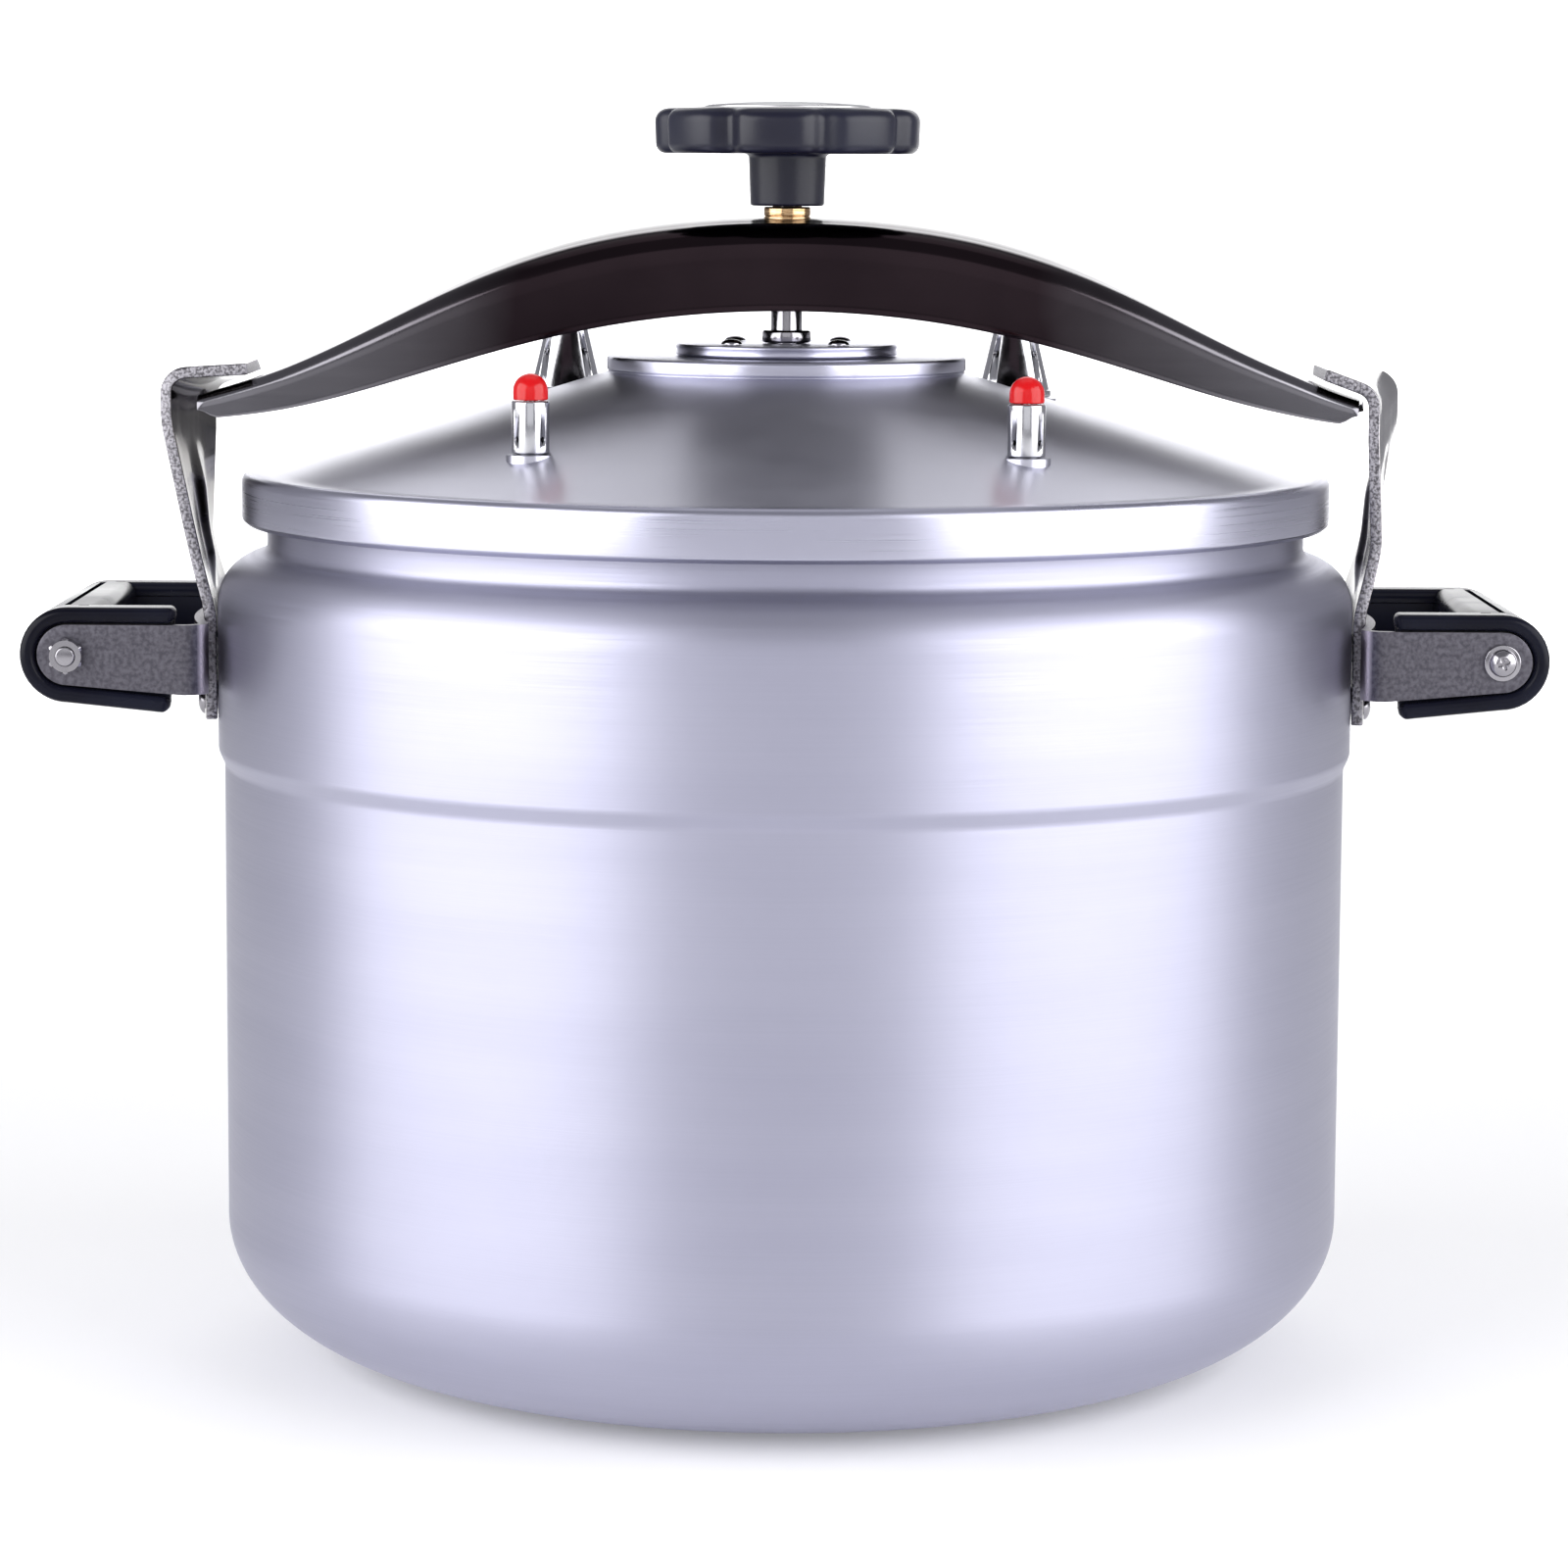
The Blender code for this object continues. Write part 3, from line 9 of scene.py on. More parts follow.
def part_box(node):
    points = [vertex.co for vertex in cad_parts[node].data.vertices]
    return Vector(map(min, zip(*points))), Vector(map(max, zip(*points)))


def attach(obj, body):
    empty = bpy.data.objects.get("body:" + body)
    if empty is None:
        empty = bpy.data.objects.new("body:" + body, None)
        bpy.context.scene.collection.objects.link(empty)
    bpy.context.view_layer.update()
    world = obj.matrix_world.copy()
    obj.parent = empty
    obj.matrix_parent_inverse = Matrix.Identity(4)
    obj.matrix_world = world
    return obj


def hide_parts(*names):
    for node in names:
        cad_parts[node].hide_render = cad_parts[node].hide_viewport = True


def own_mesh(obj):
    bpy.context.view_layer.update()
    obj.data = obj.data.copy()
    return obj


# The looks of the pressure canner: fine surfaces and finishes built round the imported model. Metres, +Z up, +X to
# the right through the handles, origin on the floor at the pot's centre.
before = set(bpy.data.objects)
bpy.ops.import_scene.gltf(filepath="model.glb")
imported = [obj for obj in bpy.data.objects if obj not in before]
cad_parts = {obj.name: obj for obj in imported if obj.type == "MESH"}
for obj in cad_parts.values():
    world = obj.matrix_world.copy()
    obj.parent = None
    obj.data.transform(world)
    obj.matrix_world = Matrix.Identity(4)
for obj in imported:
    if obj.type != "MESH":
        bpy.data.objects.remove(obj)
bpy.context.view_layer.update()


# ---- camera and studio
# A long lens at the height of the lid looks a little down on the canner, which stands on a pale floor.
# Two tall soft boxes light it from the front left and the front right, and the room between them is grey.
CAMERA_PLACE = (0.0, -1.6, 0.385)
CAMERA_PITCH = math.radians(90 - 7.21)
CAMERA_ROLL = math.radians(0.32)
camera_data = bpy.data.cameras.new("camera")
camera_data.sensor_width = 36.0
camera_data.lens = 114.2
camera_data.clip_start = 0.05
camera = bpy.data.objects.new("camera", camera_data)
camera.matrix_world = (Matrix.Translation(CAMERA_PLACE) @ Matrix.Rotation(CAMERA_PITCH, 4, "X")
                       @ Matrix.Rotation(CAMERA_ROLL, 4, "Z"))
bpy.context.scene.collection.objects.link(camera)
bpy.context.scene.camera = camera
bpy.context.scene.view_settings.view_transform = "Standard"

ROOM_COLOUR = (0.32, 0.32, 0.345)
world = bpy.data.worlds.new("studio")
world.use_nodes = True
world.node_tree.nodes["Background"].inputs["Color"].default_value = (*ROOM_COLOUR, 1.0)
bpy.context.scene.world = world


def soft_box(name, place, target, width, height, power):
    """A rectangular lamp at place whose face looks at target."""
    lamp_data = bpy.data.lights.new(name, "AREA")
    lamp_data.shape = "RECTANGLE"
    lamp_data.size = width
    lamp_data.size_y = height
    lamp_data.energy = power
    lamp = bpy.data.objects.new(name, lamp_data)
    lamp.location = place
    lamp.rotation_euler = (Vector(target) - Vector(place)).to_track_quat("-Z", "Y").to_euler()
    bpy.context.scene.collection.objects.link(lamp)


soft_box("left_box", (-1.81, -0.96, 0.9), (0.0, 0.0, 0.3), 2.8, 1.8, 60.0)
soft_box("right_box", (1.81, -0.96, 0.9), (0.0, 0.0, 0.3), 2.8, 1.8, 60.0)
soft_box("top_box", (0.0, 0.3, 2.1), (0.0, 0.0, 0.3), 1.6, 1.2, 3.0)
soft_box("front_box", (0.0, -3.3, 1.15), (0.0, 0.0, 0.3), 2.4, 2.0, 11.0)


def stage_plane(name, corners, colour, glow):
    """A flat rectangle of matt near-white card that is a little bright in itself."""
    mesh = bpy.data.meshes.new(name)
    mesh.from_pydata(corners, [], [(0, 1, 2, 3)])
    card = bpy.data.materials.new(name)
    card.use_nodes = True
    shader = card.node_tree.nodes["Principled BSDF"]
    shader.inputs["Base Color"].default_value = (*colour, 1.0)
    shader.inputs["Roughness"].default_value = 0.9
    shader.inputs["Emission Color"].default_value = (1.0, 1.0, 1.0, 1.0)
    shader.inputs["Emission Strength"].default_value = glow
    mesh.materials.append(card)
    plane = bpy.data.objects.new(name, mesh)
    bpy.context.scene.collection.objects.link(plane)


FLOOR_HALF, BACK_HALF, BACK_Y, BACK_TOP = 3.0, 0.85, 1.9, 2.1
stage_plane("floor", [(-FLOOR_HALF, -FLOOR_HALF, 0), (FLOOR_HALF, -FLOOR_HALF, 0),
                      (FLOOR_HALF, FLOOR_HALF, 0), (-FLOOR_HALF, FLOOR_HALF, 0)], (0.8, 0.8, 0.8), 0.16)
stage_plane("backdrop", [(-BACK_HALF, BACK_Y, 0), (BACK_HALF, BACK_Y, 0), (BACK_HALF, BACK_Y, BACK_TOP),
                         (-BACK_HALF, BACK_Y, BACK_TOP)], (0.85, 0.85, 0.85), 0.8)


# ---- pot body
# A deep pot spun from one aluminium disc: flat base with a wide soft corner, a thicker band round the top
# that carries the hooks and handles, a rounded shoulder and a narrow neck. Its skin is satin, in fine rings.
POT_TOP = 0.276
POT_RADIUS, BAND_RADIUS, NECK_RADIUS, LIP_RADIUS = 0.18, 0.182, 0.166, 0.1678
BAND_TOP, BAND_BOTTOM = 0.236, 0.196
POT_WALL, BASE_WALL = 0.004, 0.005
BASE_RUN, BASE_RISE = 0.065, 0.045
NECK_FOOT, SHOULDER_TOP, BAND_SLOPE = 0.259, 0.2542, 0.0045
TURNS = 256


def wire(made, kind, inputs=None, out=0, **settings):
    """Adds a shader node and gives one of its outputs. An input is a number, a colour or the socket that feeds it."""
    tree = made.node_tree
    node = tree.nodes.new("ShaderNode" + kind)
    for name, value in settings.items():
        setattr(node, name, value)
    for name, value in (inputs or {}).items():
        socket = node.inputs[name]
        if isinstance(value, bpy.types.NodeSocket):
            tree.links.new(value, socket)
        else:
            socket.default_value = (*value, 1.0) if socket.type == "RGBA" else value
    return node.outputs[out]


def new_finish(name, metallic, **settings):
    """A material with its Principled shader, ready for the nodes that colour it."""
    made = bpy.data.materials.new(name)
    made.use_nodes = True
    for socket, value in {"Metallic": metallic, **settings}.items():
        made.node_tree.nodes["Principled BSDF"].inputs[socket.replace("_", " ")].default_value = value
    return made


def from_axis(made):
    """Sockets of a point's place, of that place without its height, and of its distance from the Z axis."""
    place = wire(made, "TexCoord", out="Object")
    flat = wire(made, "VectorMath", {0: place, 1: (1.0, 1.0, 0.0)}, operation="MULTIPLY")
    return place, flat, wire(made, "VectorMath", {0: flat}, "Value", operation="LENGTH")


def ring_grain(made, fine, around, detail=3.0):
    """Noise in rings about Z: (x, y, z) is read at (x / r, y / r) * around and at height (r + z) * fine."""
    place, flat, radius = from_axis(made)
    way = wire(made, "VectorMath", {0: flat}, operation="NORMALIZE")
    turn = wire(made, "VectorMath", {0: way, "Scale": around}, operation="SCALE")
    depth = wire(made, "Math", {0: radius, 1: wire(made, "SeparateXYZ", {0: place}, "Z")}, operation="ADD")
    lift = wire(made, "CombineXYZ", {"Z": wire(made, "Math", {0: depth, 1: fine}, operation="MULTIPLY")})
    spot = wire(made, "VectorMath", {0: turn, 1: lift}, operation="ADD")
    return wire(made, "TexNoise", {"Vector": spot, "Scale": 1.0, "Detail": detail})


def speckle(made, scale, detail=4.0, stretch=(1.0, 1.0, 1.0)):
    """Plain noise in the object's own coordinates, stretched along an axis when asked."""
    spot = wire(made, "Mapping", {"Vector": wire(made, "TexCoord", out="Object"), "Scale": stretch})
    return wire(made, "TexNoise", {"Vector": spot, "Scale": scale, "Detail": detail})


def spread(made, share, low=0.0, high=1.0, start=0.35, end=0.65):
    """Maps a noise value between start and end on to the numbers low to high."""
    inputs = {"Value": share, "From Min": start, "From Max": end, "To Min": low, "To Max": high}
    return wire(made, "MapRange", inputs)


def blend_colour(made, share, first, second):
    """A colour between two others, each a colour or a socket, by a share from 0 to 1."""
    return wire(made, "Mix", {0: share, 6: first, 7: second}, 2, data_type="RGBA")


def coat(made, colour, roughness=None, relief=None):
    """Feeds a finish its colour and roughness sockets, and a small relief of (height, strength, distance)."""
    feeds = {"Base Color": colour, "Roughness": roughness}
    if relief is not None:
        feeds["Normal"] = wire(made, "Bump", dict(zip(("Height", "Strength", "Distance"), relief)))
    for name, socket in feeds.items():
        if socket is not None:
            made.node_tree.links.new(socket, made.node_tree.nodes["Principled BSDF"].inputs[name])
    return made


def satin_aluminium():
    """Bright aluminium with a lilac tint: fine rings from the lathe, broad faint bands and soft smudges."""
    made = new_finish("satin_aluminium", 1.0, Anisotropic=0.65, Anisotropic_Rotation=0.25)
    fine = ring_grain(made, 2600.0, 2.5)
    broad = ring_grain(made, 55.0, 1.4, 1.0)
    smudge = speckle(made, 14.0, 2.0)
    banded = blend_colour(made, spread(made, broad), (0.405, 0.405, 0.505), (0.423, 0.423, 0.523))
    worn = blend_colour(made, spread(made, smudge, 0.0, 0.3), banded, (0.395, 0.395, 0.495))
    return coat(made, worn, spread(made, fine, 0.43, 0.49), (fine, 0.1, 0.0002))


def rounded_line(corners, steps=6):
    """Straight lines through (across, up, fillet) corners, with an arc at each inner corner.

    An arc touches both lines: its centre is on the bisector, at fillet / sin(half the corner's angle).
    """
    corners = [np.array(corner, float) for corner in corners]
    points = [corners[0][:2]]
    for before, corner, after in zip(corners, corners[1:], corners[2:]):
        spot, fillet = corner[:2], corner[2]
        if fillet == 0.0:
            points.append(spot)
            continue
        back = (before[:2] - spot) / np.linalg.norm(before[:2] - spot)
        ahead = (after[:2] - spot) / np.linalg.norm(after[:2] - spot)
        half = np.arccos(np.clip(back @ ahead, -1.0, 1.0)) / 2
        middle = (back + ahead) / np.linalg.norm(back + ahead)
        centre = spot + middle * fillet / np.sin(half)
        start = spot + back * fillet / np.tan(half) - centre
        end = spot + ahead * fillet / np.tan(half) - centre
        sweep = np.arctan2(start[0] * end[1] - start[1] * end[0], start @ end)
        turn = np.linspace(0.0, sweep, steps + 1)[:, None]
        side = np.array([-start[1], start[0]])
        points.extend(centre + start * np.cos(turn) + side * np.sin(turn))
    points.append(corners[-1][:2])
    return np.array(points)


def skin(name, grid, finish, close_rows=False, close_columns=True, sharp=40.0):
    """One mesh from a (rows, columns, 3) grid of points: every cell of the grid is a face.

    Rows or columns can join end to end, and points that meet, as at a pole, are merged into one.
    """
    rows, columns = grid.shape[:2]
    index = np.arange(rows * columns).reshape(rows, columns)
    if close_rows:
        index = np.vstack([index, index[:1]])
    if close_columns:
        index = np.hstack([index, index[:, :1]])
    cells = np.stack([index[:-1, :-1], index[:-1, 1:], index[1:, 1:], index[1:, :-1]], -1)
    mesh = bpy.data.meshes.new(name)
    mesh.from_pydata(grid.reshape(-1, 3).tolist(), [], cells.reshape(-1, 4).tolist())
    tidy = bmesh.new()
    tidy.from_mesh(mesh)
    bmesh.ops.remove_doubles(tidy, verts=tidy.verts, dist=0.000001)
    bmesh.ops.recalc_face_normals(tidy, faces=tidy.faces)
    tidy.to_mesh(mesh)
    tidy.free()
    mesh.shade_smooth()
    mesh.set_sharp_from_angle(angle=math.radians(sharp))
    mesh.materials.append(finish)
    piece = bpy.data.objects.new(name, mesh)
    bpy.context.scene.collection.objects.link(piece)
    return piece


def full_turn(steps):
    """Angles of a whole turn, the last one short of the first."""
    return np.linspace(0.0, math.tau, steps, endpoint=False)


def quarter_turn(steps):
    """Angles of a quarter turn, as a column."""
    return np.linspace(0.0, math.pi / 2, steps)[:, None]


def round_axis(radius, height, angle):
    """Grid of the points (r cos a, r sin a, z)."""
    return np.stack(np.broadcast_arrays(radius * np.cos(angle), radius * np.sin(angle), height), -1)


def turned(name, profile, finish, turns=TURNS, ring=False, place=None):
    """A profile of (radius, height) turned about Z: point (s, a) is (r(s) cos a, r(s) sin a, z(s))."""
    grid = round_axis(profile[:, :1], profile[:, 1:], full_turn(turns))
    piece = skin(name, grid, finish, close_rows=ring)
    if place is not None:
        piece.data.transform(place)
    return piece


def fit(piece, body, slot, *nodes):
    """Ties a finished piece to its body and hides the plain solids that it stands for, if any. The slot argument is
    not used.
    """
    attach(piece, body)
    if nodes:
        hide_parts(*nodes)


def pot_profile():
    """Outer side from the mouth to the base's middle, then the inside back up.

    The base corner is a quarter of an ellipse: BASE_RUN across and BASE_RISE up.
    """
    inner = NECK_RADIUS - POT_WALL
    outside = rounded_line([
        (inner + 0.003, POT_TOP, 0), (LIP_RADIUS, POT_TOP, 0.001), (LIP_RADIUS, POT_TOP - 0.0042, 0.001),
        (NECK_RADIUS, POT_TOP - 0.0058, 0.0012), (NECK_RADIUS, NECK_FOOT, 0.0035), (BAND_RADIUS, SHOULDER_TOP, 0.016),
        (BAND_RADIUS, BAND_BOTTOM, 0.005), (POT_RADIUS, BAND_BOTTOM - BAND_SLOPE, 0.005),
        (POT_RADIUS, BASE_RISE + 0.002, 0)], 10)
    quarter = quarter_turn(40)
    corner = np.hstack([POT_RADIUS - BASE_RUN + BASE_RUN * np.cos(quarter), BASE_RISE * (1 - np.sin(quarter))])
    hollow = np.hstack([POT_RADIUS - BASE_RUN + (BASE_RUN - POT_WALL) * np.sin(quarter),
                        BASE_RISE - (BASE_RISE - BASE_WALL) * np.cos(quarter)])
    inside = rounded_line([
        (POT_RADIUS - POT_WALL, BASE_RISE, 0), (POT_RADIUS - POT_WALL, BAND_BOTTOM - BAND_SLOPE, 0.003),
        (BAND_RADIUS - POT_WALL, BAND_BOTTOM, 0.003), (BAND_RADIUS - POT_WALL, SHOULDER_TOP - 0.0032, 0.012),
        (inner, NECK_FOOT - 0.003, 0.003), (inner, POT_TOP, 0.001), (inner + 0.003, POT_TOP, 0)], 6)
    return np.vstack([outside, corner, [[0.0, 0.0]], [[0.0, BASE_WALL]], hollow, inside[1:-1]])


SATIN_ALUMINIUM = satin_aluminium()
pot_body = turned("pot", pot_profile(), SATIN_ALUMINIUM, ring=True)
fit(pot_body, "pot", "satin_aluminium", "pot_body")


# ---- lid
# A spun aluminium lid: a smooth cone rises from a flat rim to a thick turned hub, and a skirt hangs over
# the pot's mouth. The cone was polished, so it mirrors the room softly; the hub's edge and skirt are brushed.
SKIRT_RADIUS, SKIRT_INNER, SKIRT_BOTTOM = 0.174, 0.17, 0.268
RIM_TOP, CHANNEL_TOP = 0.2842, 0.2796
HUB_RADIUS, HUB_TOP, HUB_FLOOR = 0.0575, 0.321, 0.311
CONE_TOP, CONE_FOOT_RADIUS, CONE_FOOT = 0.316, 0.148, 0.288
CONE_WALL = 0.0042
SOCKET_RADIUS, SOCKET_FLOOR = 0.0083, 0.3154
HUB_GROOVE_RADIUS, HUB_FOOT_RADIUS, HUB_INSIDE = 0.0566, 0.058, 0.0545
RIB_OUTER, RIB_INNER = 0.1574, 0.1542


def smooth_aluminium():
    """Grey polished cone and hub, and a brushed lilac skirt, told apart by distance from the middle."""
    made = new_finish("smooth_aluminium", 1.0, Anisotropic=0.4, Anisotropic_Rotation=0.25)
    fine = ring_grain(made, 3000.0, 2.0)
    soft = speckle(made, 22.0, 3.0)
    radius = from_axis(made)[2]
    edge = spread(made, radius, 0.0, 1.0, 0.166, 0.1715)
    hub = spread(made, radius, 1.0, 0.0, 0.0574, 0.0582)
    turned_face = wire(made, "Math", {0: edge, 1: hub}, operation="MAXIMUM")
    cone = blend_colour(made, spread(made, soft), (0.5, 0.5, 0.575), (0.54, 0.54, 0.615))
    colour = blend_colour(made, turned_face, cone, (0.43, 0.43, 0.525))
    brushed = spread(made, fine, 0.27, 0.36)
    polished = spread(made, soft, 0.32, 0.36)
    gloss = wire(made, "Mix", {0: turned_face, 2: polished, 3: brushed})
    return coat(made, colour, gloss, (fine, 0.06, 0.0002))


def lid_profile():
    """Top of the hub outwards over the cone, rim and skirt, then back along the underside."""
    return rounded_line([
        (0.0, SOCKET_FLOOR, 0), (SOCKET_RADIUS, SOCKET_FLOOR, 0.0004), (SOCKET_RADIUS, HUB_TOP, 0.0004),
        (HUB_RADIUS, HUB_TOP, 0.0011), (HUB_RADIUS, HUB_TOP - 0.0042, 0.0007),
        (HUB_GROOVE_RADIUS, CONE_TOP + 0.0002, 0.0004),
        (HUB_FOOT_RADIUS, CONE_TOP - 0.0004, 0.0006), (CONE_FOOT_RADIUS, CONE_FOOT, 0.03),
        (0.163, 0.2832, 0.012), (0.1706, RIM_TOP, 0.006), (SKIRT_RADIUS, RIM_TOP, 0.003),
        (SKIRT_RADIUS, SKIRT_BOTTOM + 0.0014, 0.001), (SKIRT_RADIUS - 0.0016, SKIRT_BOTTOM, 0.0008),
        (SKIRT_INNER, SKIRT_BOTTOM, 0.0004), (SKIRT_INNER, CHANNEL_TOP, 0.0004),
        (RIB_OUTER, CHANNEL_TOP, 0.0003), (RIB_OUTER, POT_TOP, 0.0006), (RIB_INNER, POT_TOP, 0.0006),
        (RIB_INNER, CHANNEL_TOP + 0.001, 0.0006), (CONE_FOOT_RADIUS, CONE_FOOT - CONE_WALL, 0.01),
        (HUB_RADIUS, CONE_TOP - CONE_WALL, 0.002), (HUB_INSIDE, HUB_FLOOR, 0.001), (0.0, HUB_FLOOR, 0)], 7)


SMOOTH_ALUMINIUM = smooth_aluminium()
lid = turned("lid_cover", lid_profile(), SMOOTH_ALUMINIUM)
fit(lid, "pot", "smooth_aluminium", "lid")


# ---- gasket
# A flat ring of grey rubber, moulded to fill the lid's channel. It is pushed in by hand and stays loose there,
# and the beam's pull presses it on the pot's mouth.
def gasket_rubber():
    """Matt grey rubber with a light bloom."""
    made = new_finish("gasket_rubber", 0.0, Roughness=0.6)
    bloom = speckle(made, 180.0)
    return coat(made, blend_colour(made, bloom, (0.5, 0.5, 0.48), (0.6, 0.6, 0.58)), relief=(bloom, 0.2, 0.0002))


gasket_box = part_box("lid_gasket")
GASKET_RADIUS = gasket_box[1].x
GASKET_WIDTH = 0.012
gasket = turned("sealing_ring", rounded_line([
    (GASKET_RADIUS - 0.004, gasket_box[1].z, 0), (GASKET_RADIUS, gasket_box[1].z, 0.0006),
    (GASKET_RADIUS, gasket_box[0].z, 0.0006), (GASKET_RADIUS - GASKET_WIDTH, gasket_box[0].z, 0.0006),
    (GASKET_RADIUS - GASKET_WIDTH, gasket_box[1].z, 0.0006), (GASKET_RADIUS - 0.0041, gasket_box[1].z, 0)], 3),
    gasket_rubber(), ring=True)
fit(gasket, "pot", "gasket_rubber", "lid_gasket")


# ---- pressure plate and its rivets
# A turned aluminium disc, held on the lid's hub by four round-headed steel rivets, keeps the screw's foot in its
# socket, so that the screw turns freely and still lifts the lid with it.
PLATE_RADIUS, PLATE_LOW, PLATE_HIGH = 0.0355, 0.3213, 0.325
PLATE_HOLE = 0.0063
PIN_SHANK, PIN_HEAD, PIN_DOME = 0.002, 0.0034, 0.0016


def polished_steel():
    """Bright steel with faint drawn scratches and a few dull spots."""
    made = new_finish("polished_steel", 1.0)
    scratch = speckle(made, 220.0, 3.0, (1.0, 1.0, 0.12))
    dull = speckle(made, 60.0, 2.0)
    colour = blend_colour(made, dull, (0.26, 0.25, 0.27), (0.42, 0.41, 0.44))
    return coat(made, colour, spread(made, scratch, 0.1, 0.22), (scratch, 0.05, 0.0001))


POLISHED_STEEL = polished_steel()
plate = turned("hub_plate", rounded_line([
    (PLATE_HOLE + 0.004, PLATE_HIGH, 0), (PLATE_RADIUS - 0.0003, PLATE_HIGH, 0.0005),
    (PLATE_RADIUS, PLATE_HIGH - 0.0009, 0.0004), (PLATE_RADIUS - 0.0004, (PLATE_LOW + PLATE_HIGH) / 2, 0.003),
    (PLATE_RADIUS, PLATE_LOW + 0.0007, 0.0004), (PLATE_RADIUS - 0.0005, PLATE_LOW, 0.0004),
    (PLATE_HOLE, PLATE_LOW, 0.0003), (PLATE_HOLE, PLATE_HIGH, 0.0005), (PLATE_HOLE + 0.0039, PLATE_HIGH, 0)], 4),
    SMOOTH_ALUMINIUM, turns=128, ring=True)
fit(plate, "pot", "smooth_aluminium", "pressure_plate")


def rivet_profile(shank, head, head_height, top, bottom):
    """A shank with a low dome at each end; a dome is part of an ellipse, head across and head_height up."""
    quarter = quarter_turn(9)
    dome = np.hstack([head * np.sin(quarter), top + head_height * np.cos(quarter)])
    foot = np.hstack([head * np.cos(quarter), bottom - head_height * np.sin(quarter)])
    neck = np.array([[shank, top], [shank, bottom]])
    return np.vstack([dome, neck, foot])


def above(box, height):
    """The move to the middle of a box, seen from above, at a height."""
    return Matrix.Translation(((box[0].x + box[1].x) / 2, (box[0].y + box[1].y) / 2, height))


for number in (1, 2, 3, 4):
    low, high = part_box(f"plate_rivet_{number}")
    profile = rivet_profile(PIN_SHANK, PIN_HEAD, PIN_DOME, high.z - PIN_DOME, low.z + PIN_DOME)
    plate_rivet = turned(f"hub_rivet_{number}", profile, POLISHED_STEEL, turns=32, place=above((low, high), 0.0))
    fit(plate_rivet, "pot", "polished_steel", f"plate_rivet_{number}")


# ---- thrust collar and screw
# The screw is a bright steel rod: plain where it enters the lid's hub, threaded where it runs in the brass
# bush. A loose steel collar on the plate carries the thrust.
SCREW_RADIUS = 0.005
THREAD_PITCH, THREAD_DEPTH = 0.0015, 0.0007
THREAD_LOW, THREAD_HIGH, THREAD_FADE = 0.349, 0.386, 0.002
SCREW_FOOT_RADIUS, SCREW_FOOT_HEIGHT = 0.008, 0.0032
collar_low, collar_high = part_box("thrust_collar")
COLLAR_RADIUS = collar_high.x
collar = turned("screw_collar", rounded_line([
    (SCREW_RADIUS + 0.001, collar_high.z, 0), (COLLAR_RADIUS, collar_high.z, 0.0008),
    (COLLAR_RADIUS, collar_low.z, 0.0008), (SCREW_RADIUS + 0.0003, collar_low.z, 0.0002),
    (SCREW_RADIUS + 0.0003, collar_high.z, 0.0004), (SCREW_RADIUS + 0.0009, collar_high.z, 0)], 4),
    POLISHED_STEEL, turns=72, ring=True)
fit(collar, "thrust_collar", "polished_steel", "thrust_collar")


def screw_grid(low, high):
    """A rod whose radius follows a helix between two heights: r = R - depth * (1 - cos(2 pi z / pitch - a)) / 2."""
    foot = rounded_line([(0.0, low, 0), (SCREW_FOOT_RADIUS, low, 0.0009),
                         (SCREW_FOOT_RADIUS, low + SCREW_FOOT_HEIGHT, 0.0004),
                         (SCREW_RADIUS, low + SCREW_FOOT_HEIGHT, 0.0003), (SCREW_RADIUS, low + 0.005, 0)], 4)
    height = np.linspace(low + 0.0052, high - 0.0008, 420)
    rod = np.stack([np.full_like(height, SCREW_RADIUS), height], -1)
    top = np.array([[SCREW_RADIUS - 0.0008, high], [0.0, high]])
    profile = np.vstack([foot, rod, top])
    angle = full_turn(64)
    radius, z = profile[:, :1], profile[:, 1:]
    threaded = np.clip((z - THREAD_LOW) / THREAD_FADE, 0, 1) * np.clip((THREAD_HIGH - z) / THREAD_FADE, 0, 1)
    wave = (1 - np.cos(math.tau * z / THREAD_PITCH - angle)) / 2
    return round_axis(radius - THREAD_DEPTH * threaded * wave, z, angle)


screw_low, screw_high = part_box("spindle")
screw = skin("clamp_screw", screw_grid(screw_low.z, screw_high.z), POLISHED_STEEL)
fit(screw, "spindle", "polished_steel", "spindle")


# ---- brass bush
# The screw turns in a turned brass nut, which is pressed up through the beam's crown. Its collar bears under the
# sheet, and a groove runs round its upper end.
BUSH_RADIUS, BUSH_FLANGE, BUSH_BORE = 0.0075, 0.011, 0.0053
BUSH_ROOM = 0.0003
bush_low, bush_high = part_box("brass_bush")
FLANGE_TOP = bush_low.z + 0.005


def brass():
    """Turned brass, a little browner in its grooves."""
    made = new_finish("brass", 1.0)
    fine = ring_grain(made, 2500.0, 2.0)
    colour = blend_colour(made, spread(made, fine), (0.34, 0.2, 0.1), (0.66, 0.46, 0.26))
    return coat(made, colour, spread(made, fine, 0.14, 0.26), (fine, 0.08, 0.0001))


BRASS = brass()
bush = turned("screw_bush", rounded_line([
    (BUSH_BORE + 0.0008, bush_high.z, 0), (BUSH_RADIUS, bush_high.z, 0.0006),
    (BUSH_RADIUS, bush_high.z - 0.0026, 0.0002), (BUSH_RADIUS - 0.0005, bush_high.z - 0.0029, 0.0002),
    (BUSH_RADIUS, bush_high.z - 0.0032, 0.0002),
    (BUSH_RADIUS, FLANGE_TOP, 0.0003), (BUSH_FLANGE, FLANGE_TOP, 0.0005), (BUSH_FLANGE, bush_low.z, 0.0008),
    (BUSH_BORE, bush_low.z, 0.0004), (BUSH_BORE, bush_high.z, 0.0004), (BUSH_BORE + 0.0007, bush_high.z, 0)], 4),
    BRASS, turns=96, ring=True)
fit(bush, "beam", "brass", "brass_bush")
